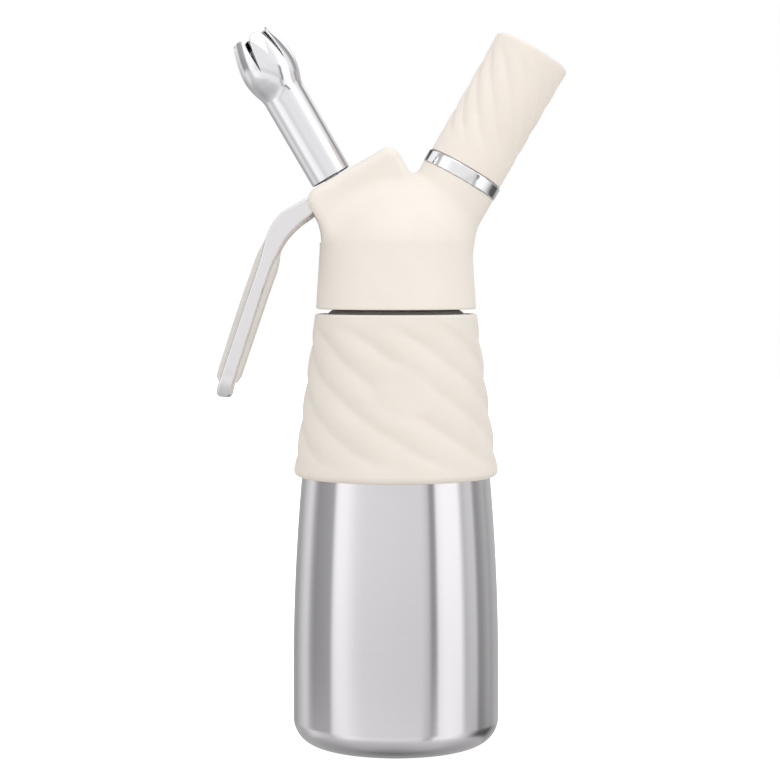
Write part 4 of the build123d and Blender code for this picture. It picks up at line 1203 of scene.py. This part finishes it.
@dataclass
class Lever:
    """Cast lever that forks round the stem, bends down beside the bottle and carries two soft strips.

    Its side view is drawn from the pivot, and the handle's own part of it as the way along the handle and
    the depth in from its outer face.
    """

    pivot: tuple[float, float] = (PIVOT_SIDE, PIVOT_HEIGHT)
    half_width: float = 7.5
    handle_start: tuple[float, float] = (-53.4, -6.0)
    handle_turn: float = 41.7
    tip_taper: float = 2.8
    root_top: float = 3.5
    fork_end: float = -21.15
    bend_end: float = -15.1
    tip_from: float = 46.0
    outer_end: float = 49.7
    inner_end: float = 48.9
    strip_end: float = 3.2
    strip_sink: float = 0.12
    strip_inset: float = 0.7
    bevel_share: float = 0.75
    fork_wall: float = 2.2
    inner_root: tuple[tuple[float, float], ...] = (
        (21.15, -2.11), (22.7, -3.1), (24.5, -3.85), (26.4, -4.25), (29.2, -4.5), (32.0, -4.78), (35.0, -5.45),
        (38.3, -6.5))
    metal_outer: tuple[tuple[float, float], ...] = (
        (-15.1, 2.7), (-12.2, 2.0), (-8.5, 1.75), (-5.0, 1.98), (-2.3, 2.2), (4.0, 2.36), (10.5, 2.33), (17.0, 2.2),
        (33.0, 2.1), (46.0, 1.95))
    metal_inner: tuple[tuple[float, float], ...] = (
        (-15.1, 12.3), (-12.4, 10.95), (-9.4, 9.8), (-6.8, 9.15), (-4.6, 8.7), (-2.0, 8.1), (0.2, 7.65), (2.4, 7.38),
        (9.0, 7.24), (31.0, 7.26), (46.0, 7.35))
    outer_face: tuple[tuple[float, float], ...] = (
        (-9.4, 1.8), (-7.2, 1.6), (-4.6, 1.12), (-1.7, 0.62), (4.6, 0.38), (11.0, 0.2), (18.0, 0.06), (34.0, 0.06),
        (46.0, 0.2))
    inner_face: tuple[tuple[float, float], ...] = (
        (-5.4, 8.85), (-3.4, 9.02), (-1.0, 9.5), (1.8, 9.84), (8.0, 9.72), (15.0, 9.62), (31.0, 9.48), (44.0, 9.34))

    def along(self, points: Array) -> Array:
        """Way along the handle and depth from its outer face of points given from the pivot.

        Args:
            points: Side and height of each point from the pivot.
        Returns:
            The way and the depth of each point.
        """
        turn = math.radians(self.handle_turn)
        offset = points - np.array(self.handle_start)
        return np.stack([-offset[:, 0] * math.cos(turn) - offset[:, 1] * math.sin(turn),
                         offset[:, 0] * math.sin(turn) - offset[:, 1] * math.cos(turn)], -1)

    def at(self, places: Array) -> Array:
        """Points from the pivot of places given along the handle and in from its outer face.

        Args:
            places: Way along the handle and depth of each place.
        Returns:
            Side and height of each place from the pivot.
        """
        turn = math.radians(self.handle_turn)
        along, depth = np.array(places, float).T
        return np.stack([self.handle_start[0] - along * math.cos(turn) + depth * math.sin(turn),
                         self.handle_start[1] - along * math.sin(turn) - depth * math.cos(turn)], -1)

    def outer_bend(self) -> Array:
        """Outer face from the fork's end to the handle: a straight run and an arc, as along and depth.

        Returns:
            The way and the depth of each point.
        """
        run = np.array([(self.fork_end, self.root_top), (-35.9, self.root_top)])
        arc = arc_through((-35.9, self.root_top), (-43.6, 0.6), self.handle_start, 60)
        return self.along(np.concatenate([dense(run, 0.5, loop=False), arc[1:]]))

    def inner_bend(self) -> Array:
        """Inner face from the fork's end into the bend, as along and depth."""
        out = np.linspace(self.inner_root[0][0], self.inner_root[-1][0], 60)
        return self.along(np.stack([-out, smooth_through(self.inner_root, out)], -1))

    def run(self, keys: tuple[tuple[float, float], ...], start: float, end: float, count: int) -> Array:
        """Even points along a curve given by keys, as way along the handle and depth."""
        along = np.linspace(start, end, count)
        return np.stack([along, smooth_through(keys, along)], -1)

    def evened(self, path: Array, count: int) -> Array:
        """The same path with points at even distances.

        Args:
            path: Two coordinates of each point.
            count: Number of points wanted.
        Returns:
            The even points, with the path's own ends.
        """
        way = np.concatenate([[0], np.cumsum(np.linalg.norm(np.diff(path, axis=0), axis=1))])
        even = np.linspace(0, way[-1], count)
        return np.stack([np.interp(even, way, path[:, k]) for k in (0, 1)], -1)

    def loft(self, outer: Array, inner: Array, edges: tuple[Array, Array], width: Array | float,
             flat_share: float = 0.0) -> Shape:
        """Rounded bar: at each station a rectangle between outer and inner, with quarter circles at its corners.

        Args:
            outer: Side and height of the outer face at each station.
            inner: Side and height of the inner face at each station.
            edges: Radii of the outer and the inner corners at each station, less where the bar is thin.
            width: Half width across the lever, at each station or everywhere.
            flat_share: How far the inner corners go from a quarter circle towards a flat bevel.
        Returns:
            The closed bar, with a point in the middle of each end.
        """
        height = np.linalg.norm(outer - inner, axis=1)
        small, large = (np.minimum(edge, height * 0.46)[:, None] for edge in edges)
        width = np.broadcast_to(width, height.shape)[:, None]
        angle = np.linspace(0, math.pi / 2, 7)
        hold = 0.12
        bows = []
        for flatness in (0.0, flat_share):
            round_x, round_y, even = 1 - np.sin(angle), 1 - np.cos(angle), angle / (math.pi / 2)
            bow_x = round_x + flatness * (1 - even - round_x)
            bow_y = round_y + flatness * (even - round_y)
            bows.append((np.concatenate([[1 + hold], bow_x, [0]]), np.concatenate([[0], bow_y, [1 + hold]])))
        (small_x, small_y), (large_x, large_y) = bows
        across = np.concatenate([-width + small * small_x, -width + large * large_x[::-1],
                                 width - large * large_x, width - small * small_x[::-1]], axis=1)
        depth = np.concatenate([small * small_y, height[:, None] - large * large_y[::-1],
                                height[:, None] - large * large_y, small * small_y[::-1]], axis=1)
        share = (depth / np.maximum(height, TINY)[:, None])[..., None]
        flat = outer[:, None] * (1 - share) + inner[:, None] * share
        points = np.stack([flat[..., 0], across, flat[..., 1]], -1)
        shape = grid_shape(points, wrap_columns=True)
        count, rows = points.shape[1], len(points)
        middle = (outer + inner) / 2
        ends = np.array([[middle[0, 0], 0, middle[0, 1]], [middle[-1, 0], 0, middle[-1, 1]]])
        here = np.arange(count)
        there = (here + 1) % count
        first = np.stack([there, here, np.full(count, rows * count)], -1)
        last = np.stack([here, there, np.full(count, rows * count + 1)], -1)
        last += np.array([1, 1, 0]) * (rows - 1) * count
        shape.points = np.concatenate([shape.points, ends])
        shape.faces += [first, last]
        shape.uvs += [np.zeros((count, 3, 2)), np.zeros((count, 3, 2))]
        return shape

    def metal(self) -> Shape:
        """Bar of the lever: the bend from the fork, the slim handle and a squarish tip with round corners.

        Returns:
            The closed bar, placed from the pivot.
        """
        bend = [part[part[:, 0] < self.bend_end - 0.3] for part in (self.outer_bend(), self.inner_bend())]
        tips = (rounded([(self.tip_from, 1.95, 0), (52.0, 1.8, 8.0), (55.9, 2.3, 1.9), (55.3, 5.1, 0)], loop=False),
                rounded([(self.tip_from, 7.35, 0), (48.5, 7.7, 6.0), (54.5, 8.4, 1.7), (55.3, 5.1, 0)], loop=False))
        sides = []
        for start, keys, tip in zip(bend, (self.metal_outer, self.metal_inner), tips):
            handle = self.run(keys, self.bend_end, self.tip_from - 0.15, 90)
            sides.append(np.concatenate([self.evened(start, 50), handle, self.evened(tip, 46)]))
        to_tip = np.clip((sides[0] + sides[1])[:, 0] / 2 - self.tip_from + 2, 0, None) / 11.3
        width = self.half_width - self.tip_taper * to_tip ** 2
        sides = [self.at(side) for side in sides]
        station = np.linspace(0, 1, len(width))
        inner_edge = np.interp(station, [0, 0.2, 0.33, 0.42, 0.75, 0.85, 1], [1.9, 1.9, 1.5, 0.8, 0.8, 1.3, 1.3])
        outer_edge = np.interp(station, [0, 0.7, 0.9], [0.6, 0.6, 0.9])
        return self.loft(sides[0], sides[1], (outer_edge, inner_edge), width, self.bevel_share)

    def strip(self, outer: bool) -> Shape:
        """Soft strip on one face of the handle: it rises from the metal at the bend and has an oval end.

        Args:
            outer: Whether it is the strip on the outer face.
        Returns:
            The closed strip, placed from the pivot.
        """
        keys, metal, end = ((self.outer_face, self.metal_outer, self.outer_end) if outer
                            else (self.inner_face, self.metal_inner, self.inner_end))
        start = keys[0][0]
        along = np.concatenate([np.linspace(start, end - self.strip_end, 110),
                                end - self.strip_end + self.strip_end * np.sin(np.linspace(0.03, math.pi / 2, 30))])
        low = smooth_through(metal, np.minimum(along, self.tip_from))
        full = smooth_through(keys, np.minimum(along, keys[-1][0])) - low
        oval = np.sqrt(np.clip(1 - np.clip((along - end) / self.strip_end + 1, 0, 1) ** 2, 0, 1))
        face = np.stack([along, low + full * oval], -1)
        root = np.stack([along, low - np.sign(full[60]) * self.strip_sink], -1)
        sides = (face, root) if outer else (root, face)
        bead, seam = np.full(len(along), 1.15), np.full(len(along), 0.3)
        edges = (bead, seam) if outer else (seam, bead)
        return self.loft(self.at(sides[0]), self.at(sides[1]), edges, self.half_width - self.strip_inset)

    def cheek(self) -> Array:
        """Closed outline of one cheek of the fork, with its nose over the collar and its eye.

        Returns:
            Side and height of each point from the pivot.
        """
        nose = arc_through((-16.4, -1.75), (-12.5, -3.15), (-8.6, -1.75), 12)
        eye = arc_through((0, -3.6), (3.6, 0), (0, 3.6), 16)
        return np.concatenate([[(-21.7, 1.7), (-21.7, -2.3), (-18.9, -0.7)], nose, eye, [(-3.6, 1.7)]])

    def build(self) -> None:
        """Makes the metal, the two strips and the pin."""
        x, z = self.pivot
        w = self.half_width
        faces = ((-w, -w + self.fork_wall), (w - self.fork_wall, w))
        forks = [prism(self.cheek(), low, high, 0.25, 2) for low, high in faces]
        body = self.metal().joined(*forks).moved(x, 0, z).placed(LEFT)
        add_piece("lever_casting", body, Look("lever", "lever_metal", SATIN_LEVER, ("lever",)), 50)
        for name, outer in (("lever_strip_outer", True), ("lever_strip_inner", False)):
            node = "lever_grip_outer" if outer else "lever_grip_inner"
            strip = self.strip(outer).moved(x, 0, z).placed(LEFT)
            # The strips take the silicone that is painted darker and greyer as painted shade.
            add_piece(name, strip, Look("lever", "soft_cream", SHADED_STRIP_SILICONE, (node,)), 60)
        pin = revolved(rounded([(0, -10.5, 0), (1.5, -10.5, 0.2), (1.5, 13.5, 0.3), (0, 13.5, 0)], loop=False), 48,
                       loop=False)
        pin.points = pin.points[:, [0, 2, 1]] * np.array([-1, 1, 1])
        look = Look("head", "steel_part", TURNED_LEFT, ("lever_pin",))
        add_piece("hinge_pin", pin.moved(x, 0, z).placed(LEFT), look)


@dataclass
class Nozzle:
    """Screwed-on steel nozzle: a slim tube that swells into a tulip of six pointed petals."""

    foot: float = 50.1
    mouth: float = 112.1
    wall: float = 1.0
    rim_radius: float = 0.3
    petals: int = 6
    petal_columns: int = 20
    slot_start: float = 97.4
    slot_width: float = 3.0
    turn: float = -19.3
    tip_drop: float = 2.0
    profile: tuple[tuple[float, float], ...] = (
        (50.1, 8.15), (60.0, 8.22), (74.0, 8.31), (84.0, 8.38), (87.0, 8.42), (88.5, 8.74), (90.1, 9.32),
        (91.6, 9.84), (93.2, 10.25), (94.7, 10.56), (96.3, 10.76), (98.6, 10.85), (101.0, 10.66), (103.3, 10.3),
        (105.6, 9.83), (107.9, 9.2), (110.1, 8.45), (112.1, 7.7))

    def radius(self, along: Array) -> Array:
        """Outer radius of the nozzle along its axis."""
        return smooth_through(self.profile, along)

    def petal(self, index: int, shrink: float, sink: float) -> Array:
        """Grid of one petal: its half angle is 30 degrees less the slot's, and its tip is a half oval.

        Args:
            index: Number of the petal.
            shrink: How far its edge is drawn in, from nothing at the root of the slot, in mm.
            sink: How far it lies below the outer skin, in mm.
        Returns:
            Points by row up the petal and column across it.
        """
        v = np.linspace(-1, 1, self.petal_columns + 1)[None, :]
        u = np.linspace(0, 1, 30)[:, None]
        shrink = shrink * smooth_step(0.0, 0.16, u)
        tip = self.mouth - shrink - self.tip_drop * (1 - np.sqrt(1 - v * v * 0.999))
        along = self.slot_start + (tip - self.slot_start) * u
        radius = self.radius(along)
        half_slot = self.slot_width / 2 * (along - self.slot_start) / (self.mouth - self.slot_start)
        half = math.pi / self.petals - (half_slot + shrink) / radius
        middle = math.radians(self.turn - 90) + (index + 0.5) * 2 * math.pi / self.petals
        angle = middle + v * half
        return np.stack([(radius - sink) * np.cos(angle), (radius - sink) * np.sin(angle), along], -1)

    def rim(self, index: int) -> Shape:
        """Rounded edge of one petal, from its inner skin round to its outer skin.

        Args:
            index: Number of the petal.
        Returns:
            The open strip between the two skins.
        """
        quarter = np.linspace(0, math.pi / 2, 5)
        shrink = self.rim_radius * (1 - np.sin(quarter))
        sink = self.rim_radius * (1 - np.cos(quarter))
        levels = [*zip(shrink, self.wall - sink), *zip(shrink[::-1], sink[::-1])]
        grids = [self.petal(index, *level) for level in levels]
        return grid_shape(np.stack([np.concatenate([g[:, 0], g[-1, 1:-1], g[::-1, -1]]) for g in grids]))

    def tube(self, profile: Array) -> Shape:
        """Turned part below the slots, with columns that meet the petals' columns.

        Args:
            profile: Radius and height of each point, with the solid on the left.
        Returns:
            The part, turned to the petals' angle.
        """
        columns = self.petals * self.petal_columns
        shape = revolved(profile, columns, loop=False)
        start = math.radians(self.turn - 90)
        cosine, sine = math.cos(start), math.sin(start)
        rotation = np.array([[cosine, sine, 0], [-sine, cosine, 0], [0, 0, 1]])
        return Shape(shape.points @ rotation, shape.faces, shape.uvs)

    def build(self) -> None:
        """Makes the skins, the rims of the petals and the threaded foot as one closed surface."""
        heights = np.concatenate([np.linspace(self.foot + 0.3, 86, 30), np.linspace(86.5, self.slot_start, 30)])
        outside = np.stack([self.radius(heights), heights], -1)
        inner = np.concatenate([np.linspace(self.slot_start, 86.5, 24), [84.0, 62.6]])
        inside = np.stack([self.radius(inner) - self.wall, inner], -1)
        thread = np.linspace(60.6, self.foot + 0.3, 60)
        grooves = np.stack([7.0 + 0.4 * (0.5 - 0.5 * np.cos(2 * math.pi * thread / 1.5)), thread], -1)
        foot = np.array([(7.3, self.foot), (7.85, self.foot)])
        profile = np.concatenate([inside, [(4.9, 62.6), (4.9, 60.6)], grooves, foot, outside])
        shapes = [self.tube(profile)]
        for index in range(self.petals):
            outer = self.petal(index, self.rim_radius, 0.0)
            hollow = self.petal(index, self.rim_radius, self.wall)
            shapes += [grid_shape(outer), grid_shape(hollow[:, ::-1]), self.rim(index)]
        body = shapes[0].joined(*shapes[1:]).placed(LEFT)
        look = Look("nozzle", "nozzle_metal", POLISHED_STEEL, ("decorator_nozzle",))
        add_piece("petal_nozzle", body, look, 35, merge=True)


# ---------------------------------------------------------------- charger side


@dataclass
class Charger:
    """Charging side: gasket, nipple with piercing pin and check valve, bright ring, cup and fluted grip."""

    ring_low: float = 48.65
    ring_high: float = 53.7
    grip_low: float = 53.95
    grip_high: float = 106.45
    grip_radius: tuple[float, float] = (15.15, 15.4)
    flutes: int = 11
    twist: float = 3.1
    flute_depth: float = 0.75

    def parts(self) -> list[Turned]:
        """The turned and moulded parts.

        Returns:
            The parts, not yet built.
        """
        return [
            Turned("neck_gasket", UPRIGHT, Look("head", "silicone_clear", CLEAR_SILICONE, ("head_gasket",)), (
                (19.4, LIP, 0.6), (24.0, LIP, 0.6), (24.0, LIP + 3, 0.5), (19.4, LIP + 3, 0.5)),
                columns=160),
            Turned("nipple_turned", RIGHT, Look("head", "steel_part", TURNED_RIGHT, ("charge_nipple",)), (
                (2.0, 34.0, 0.2), (11.0, 34.0, 0.4), (11.0, 62.0, 0.6), (9.3, 62.0, 0.4), (9.3, 54.0, 0.6),
                (4.9, 47.0, 0.6), (4.9, 37.0, 0.2), (2.0, 37.0, 0.2)),
                pitch=1.6, depth=-0.55, thread=(54.2, 61.4), thread_radius=11.0, columns=128),
            Turned("piercing_point", RIGHT, Look("head", "steel_part", TURNED_RIGHT, ("piercing_pin",)), (
                (0.5, 34.0, 0), (2.0, 34.0, 0), (2.0, 38.8, 0.2), (0.8, 41.0, 0.1), (0.5, 41.0, 0.05)), columns=48),
            Turned("charger_neck_seal", RIGHT, Look("head", "seal_rubber", SEAL_RUBBER, ("charger_seal",)), (
                (2.0, 37.0, 0.3), (4.9, 37.0, 0.3), (4.9, 38.5, 0.4), (2.0, 38.5, 0.4))),
            Turned("check_valve_carrier", RIGHT, Look("head", "steel_part", TURNED_RIGHT,
                                                      ("check_valve_retainer",)), (
                (1.5, 29.0, 0.2), (4.4, 29.0, 0.3), (4.4, 30.6, 0.2), (1.5, 30.6, 0.2)), columns=64),
            Turned("bright_ring", RIGHT, Look("head", "chrome_ring", CHROME, ("collar_ring",)), (
                (11.1, self.ring_low, 0), (15.7, self.ring_low, 0.25), (15.7, self.ring_high - 0.35, 0.2),
                (15.35, self.ring_high - 0.3, 0.1), (15.3, self.ring_high, 0.1), (11.1, self.ring_high, 0)),
                columns=192),
            Turned("charger_cup", RIGHT, Look("charger_holder", "cup_metal", CUP_METAL, ("charger_holder_cup",)), (
                (0, 103.95, 0), (9.3, 103.95, 2.0), (9.3, 64.0, 0.3), (11.2, 64.0, 0.3), (11.2, 53.95, 0.3),
                (13.0, 53.95, 0.3), (13.0, 105.05, 0.5), (0, 105.05, 0)), loop=False,
                pitch=1.6, depth=0.5, thread=(54.5, 63.5), thread_radius=11.2, columns=128),
        ]

    def relief(self, turn: Array, radius: Array, height: Array) -> Array:
        """Flutes: shallow round valleys between narrow crests that wind down to the right, faded at both ends.

        Args:
            turn: Angle of each point round the axis, in radians.
            radius: Radius of each point before the relief.
            height: Height of each point along the arm.
        Returns:
            What is added to each radius.
        """
        azimuth = np.degrees(turn) + 90
        phase = math.pi * (azimuth + self.twist * (height - 80.0)) * self.flutes / 360
        valley = 1 - np.sqrt(1 - 0.97 * np.sin(phase) ** 2)
        fade = smooth_step(self.grip_low + 6, self.grip_low + 15, height)
        fade = fade * smooth_step(-self.grip_high + 4, -self.grip_high + 12, -height)
        return -self.flute_depth * valley * fade * smooth_step(14.2, 14.8, radius)

    def build(self) -> None:
        """Makes every part, the slit valve disc and the grip with its gently domed end."""
        for part in self.parts():
            part.build()
        repaint("check_valve", SEAL_RUBBER)
        low, high = self.grip_radius
        edge = self.grip_high - 0.45
        skin = rounded([(0, 105.05, 0), (13.0, 105.05, 0), (13.0, self.grip_low, 0.2), (low, self.grip_low, 0.35),
                        (high, edge, 1.5), (high * 0.6, self.grip_high, 12.0), (0, self.grip_high, 0)],
                       steps=10, loop=False)
        shape = revolved(dense(skin, 0.5, loop=False), 256, self.relief, loop=False)
        # The grip takes the silicone that is painted lighter as painted light.
        look = Look("charger_holder", "soft_cream", LIT_CREAM_GRIP, ("charger_holder_grip",))
        add_piece("fluted_grip", shape.placed(RIGHT), look, 60)


# ---------------------------------------------------------------- studio


@dataclass
class Studio:
    """Pale floor, soft lamps, a grey room for the metal to mirror, and the camera."""

    distance: float = 0.846
    eye: float = 0.183
    yaw: float = 2.5
    focal: float = 100.5
    aim: tuple[float, float] = (396.0, 741.0)
    floor_radius: float = 3.0
    paper_glow: float = 0.84
    room_gain: float = 4.0
    blends: tuple[tuple[float, float], ...] = ((-0.56, -0.44), (-0.292, -0.208), (0.21, 0.33))
    flags: tuple[tuple[float, float], ...] = (
        (-180, 0.6), (-158, 0.46), (-146, 0.5), (-126, 0.92), (-119, 0.92), (-110, 0.5), (-104, 0.38), (-86, 0.45),
        (-79, 0.5), (-74, 1.2), (-69, 1.32), (-60, 1.28), (-46, 1.03), (-36, 0.96), (5, 0.915), (30, 0.9),
        (37, 0.76), (40.5, 0.36), (45.5, 0.36), (48.5, 1.2), (57, 1.34), (77, 1.34), (82, 0.9), (85, 0.68), (92, 0.8),
        (101, 0.84), (106, 0.42), (111, 0.38), (126, 0.58), (134, 0.5), (146, 0.6), (180, 0.6))
    high_flags: tuple[tuple[float, float], ...] = (
        (-180, 0.1), (-148, 0.06), (-141, 0.14), (-136, 0.85), (-125, 1.0), (-108, 1.0), (-97, 0.5), (-80, 0.55),
        (-72, 1.2), (-50, 1.2), (-40, 1.06), (-28, 0.93), (0, 0.95), (34, 0.98), (41, 1.04), (47, 1.2), (78, 1.25),
        (86, 1.0), (102, 0.93), (112, 0.55), (127, 0.32), (138, 0.52), (148, 0.75), (168, 0.8), (180, 0.3))
    low_flags: tuple[tuple[float, float], ...] = (
        (-180, 0.45), (-150, 0.5), (-134, 0.5), (-122, 0.68), (-110, 0.9), (-95, 0.78), (-80, 0.66), (-70, 0.95),
        (-58, 1.17), (-45, 1.1), (-32, 1.0), (0, 0.96), (28, 0.93), (34, 0.6), (40, 0.57), (45, 1.15), (63, 1.24),
        (76, 1.05), (88, 0.75), (98, 0.4), (108, 0.12), (132, 0.1), (144, 0.35), (165, 0.5), (180, 0.5))
    floor_flags: tuple[tuple[float, float], ...] = (
        (-180, 0.55), (-110, 0.6), (-60, 0.85), (0, 0.85), (60, 0.95), (110, 0.68), (180, 0.55))
    flag_heights: tuple[tuple[float, float], ...] = (
        (-90, 0.36), (-78, 0.4), (-68, 0.56), (-56, 0.66), (-42, 0.76), (-28, 0.95), (-17, 1.0), (-13, 0.88),
        (-9, 0.86), (-3, 0.96), (1, 1.0), (30, 1.0), (60, 1.05), (90, 1.1))
    light: tuple[tuple[float, float], ...] = (
        (-180, 0.75), (-120, 0.66), (-80, 0.66), (-30, 0.86), (30, 1.0), (80, 0.9), (130, 0.75), (180, 0.75))
    light_heights: tuple[tuple[float, float], ...] = (
        (-90, 0.72), (-20, 0.87), (0, 0.97), (35, 1.2), (60, 1.38), (90, 1.45))

    def world(self) -> None:
        """Room round the object: a white backdrop to the camera, soft light, and grey flags in what metal mirrors.

        The flags are upright bands by the turn round the object: one set near the floor, one low, one level
        and one high.
        """
        world = bpy.data.worlds.new("studio")
        bpy.context.scene.world = world
        world.use_nodes = True
        tree = world.node_tree
        tree.nodes.clear()
        coordinate = add_node(tree, "TexCoord")
        split = add_node(tree, "SeparateXYZ", {}, {0: coordinate.outputs["Generated"]})
        forward = add_node(tree, "Math", {"operation": "MULTIPLY"}, {0: split.outputs[1], 1: -1.0})
        turn = add_node(tree, "Math", {"operation": "ARCTAN2"}, {0: split.outputs[0], 1: forward.outputs[0]})
        share = add_node(tree, "MapRange", {}, {"Value": turn.outputs[0], "From Min": -math.pi, "From Max": math.pi})
        height = add_node(tree, "MapRange", {}, {"Value": split.outputs[2], "From Min": -1.0, "From Max": 1.0})
        turns = []
        for bands in (self.floor_flags, self.low_flags, self.flags, self.high_flags, self.light):
            around = add_node(tree, "ValToRGB", {}, {"Fac": share.outputs[0]})
            set_ramp(around, [((azimuth - self.yaw + 180) / 360, level / 2) for azimuth, level in bands])
            turns.append(around.outputs[0])
        flags = turns[0]
        for above, (start, end) in zip(turns[1:4], self.blends):
            over = add_node(tree, "MapRange", {"interpolation_type": "SMOOTHSTEP"},
                            {"Value": split.outputs[2], "From Min": start, "From Max": end})
            mixed = add_node(tree, "Mix", {"data_type": "RGBA"}, {"Factor": over.outputs[0], 6: flags, 7: above})
            flags = mixed.outputs[2]
        rooms = []
        for bands, heights in ((flags, self.flag_heights), (turns[4], self.light_heights)):
            upwards = add_node(tree, "ValToRGB", {}, {"Fac": height.outputs[0]})
            set_ramp(upwards, [(0.5 + 0.5 * math.sin(math.radians(rise)), level / 2) for rise, level in heights])
            product = add_node(tree, "Math", {"operation": "MULTIPLY"}, {0: bands, 1: upwards.outputs[0]})
            strength = add_node(tree, "Math", {"operation": "MULTIPLY"}, {0: product.outputs[0], 1: self.room_gain})
            rooms.append(add_node(tree, "Background", {}, {"Color": (1.0, 0.997, 0.993, 1),
                                                           "Strength": strength.outputs[0]}))
        white = add_node(tree, "Background", {}, {"Color": (1, 1, 1, 1), "Strength": 1.0})
        path = add_node(tree, "LightPath")
        mirrored = add_node(tree, "Math", {"operation": "MAXIMUM"}, {0: path.outputs["Is Glossy Ray"],
                                                                    1: path.outputs["Is Transmission Ray"]})
        seen = add_node(tree, "MixShader", {}, {0: mirrored.outputs[0], 1: rooms[1].outputs[0],
                                                2: rooms[0].outputs[0]})
        mix = add_node(tree, "MixShader", {}, {0: path.outputs["Is Camera Ray"], 1: seen.outputs[0],
                                               2: white.outputs[0]})
        add_node(tree, "OutputWorld", {}, {"Surface": mix.outputs[0]})

    def floor(self) -> None:
        """Round white floor that the camera sees as paper white, with the object's soft shadow."""
        mesh = bpy.data.meshes.new("floor")
        turn = np.linspace(0, 2 * math.pi, 97)[:-1]
        mesh.from_pydata(np.stack([self.floor_radius * np.cos(turn), self.floor_radius * np.sin(turn),
                                   0 * turn], -1).tolist(), [],
                         [list(range(96))])
        floor = bpy.data.objects.new("floor", mesh)
        bpy.context.scene.collection.objects.link(floor)
        paper = bpy.data.materials.new("white_paper_floor")
        paper.use_nodes = True
        tree = paper.node_tree
        shader = tree.nodes["Principled BSDF"]
        shader.inputs["Base Color"].default_value = linear("#e8e6e3")
        shader.inputs["Roughness"].default_value = 0.9
        glow = add_node(tree, "Emission", {}, {"Color": (1, 1, 1, 1), "Strength": self.paper_glow})
        both = add_node(tree, "AddShader", {}, {0: shader.outputs[0], 1: glow.outputs[0]})
        path = add_node(tree, "LightPath")
        mix = add_node(tree, "MixShader", {}, {0: path.outputs["Is Camera Ray"], 1: shader.outputs[0],
                                               2: both.outputs[0]})
        tree.links.new(mix.outputs[0], tree.nodes["Material Output"].inputs["Surface"])
        mesh.materials.append(paper)
        floor.visible_glossy = False

    def lamp(self, name: str, place: tuple[float, float, float], size: tuple[float, float], power: float) -> None:
        """Adds a soft box that looks at the middle of the object.

        Args:
            name: Name of the lamp.
            place: Place in metres.
            size: Width and height in metres.
            power: Power in watts.
        """
        data = bpy.data.lights.new(name, "AREA")
        data.shape, data.size, data.size_y, data.energy = "RECTANGLE", size[0], size[1], power
        lamp = bpy.data.objects.new(name, data)
        bpy.context.scene.collection.objects.link(lamp)
        lamp.location = place
        lamp.rotation_euler = (Vector((0, 0, 0.17)) - Vector(place)).to_track_quat("-Z", "Y").to_euler()

    def spot(self, name: str, place: tuple[float, float, float], target: tuple[float, float, float], cone: float,
             power: float) -> None:
        """Adds a spot lamp with a wholly soft edge that lights one place of the object.

        Args:
            name: Name of the lamp.
            place: Where it hangs, in metres.
            target: What it points at.
            cone: Full angle of its cone in degrees.
            power: Its power in watts.
        """
        data = bpy.data.lights.new(name, "SPOT")
        data.energy, data.spot_size, data.spot_blend, data.shadow_soft_size = power, math.radians(cone), 1.0, 0.08
        lamp = bpy.data.objects.new(name, data)
        lamp.location = place
        aim = Vector(target) - Vector(place)
        lamp.rotation_euler = aim.to_track_quat("-Z", "Y").to_euler()
        lamp.visible_glossy = False
        bpy.context.scene.collection.objects.link(lamp)

    def camera(self) -> None:
        """Places the camera so that the bottle's foot falls on its place in a square frame of 780 points."""
        scene = bpy.context.scene
        data = bpy.data.cameras.new("camera")
        data.lens, data.sensor_width, data.sensor_fit = self.focal, 36.0, "HORIZONTAL"
        data.clip_start, data.clip_end = 0.05, 20.0
        camera = bpy.data.objects.new("camera", data)
        scene.collection.objects.link(camera)
        turn = math.radians(self.yaw)
        camera.location = (-self.distance * math.sin(turn), -self.distance * math.cos(turn), self.eye)
        scale = self.focal / 36.0 * 780
        across = math.atan2(self.aim[0] - 390, scale)
        down = math.atan2(self.eye, self.distance) - math.atan2(self.aim[1] - 390, scale)
        camera.rotation_euler = Euler((math.pi / 2 - down, 0, -turn + across), "XYZ")
        scene.camera = camera

    def build(self) -> None:
        """Makes the whole studio."""
        bpy.context.scene.view_settings.view_transform = "Standard"
        self.world()
        self.floor()
        self.lamp("overhead_softbox", (-0.15, -0.75, 1.35), (0.9, 0.9), 2.6)
        self.spot("head_spot", (0.06, -0.9, 0.42), (0.006, -0.03, 0.212), 13.0, 0.9)
        self.lamp("back_softbox", (0.3, 1.2, 1.1), (1.0, 0.8), 1.5)
        self.camera()


def main() -> None:
    """Builds the studio, then every sub-assembly in order."""
    logging.basicConfig(level=logging.INFO, format="%(name)s: %(message)s")
    Studio().build()
    for assembly in (Bottle(), Sleeve(), Head(), Valve(), Lever(), Nozzle(), Charger()):
        assembly.build()


if __name__ == "__main__":
    main()
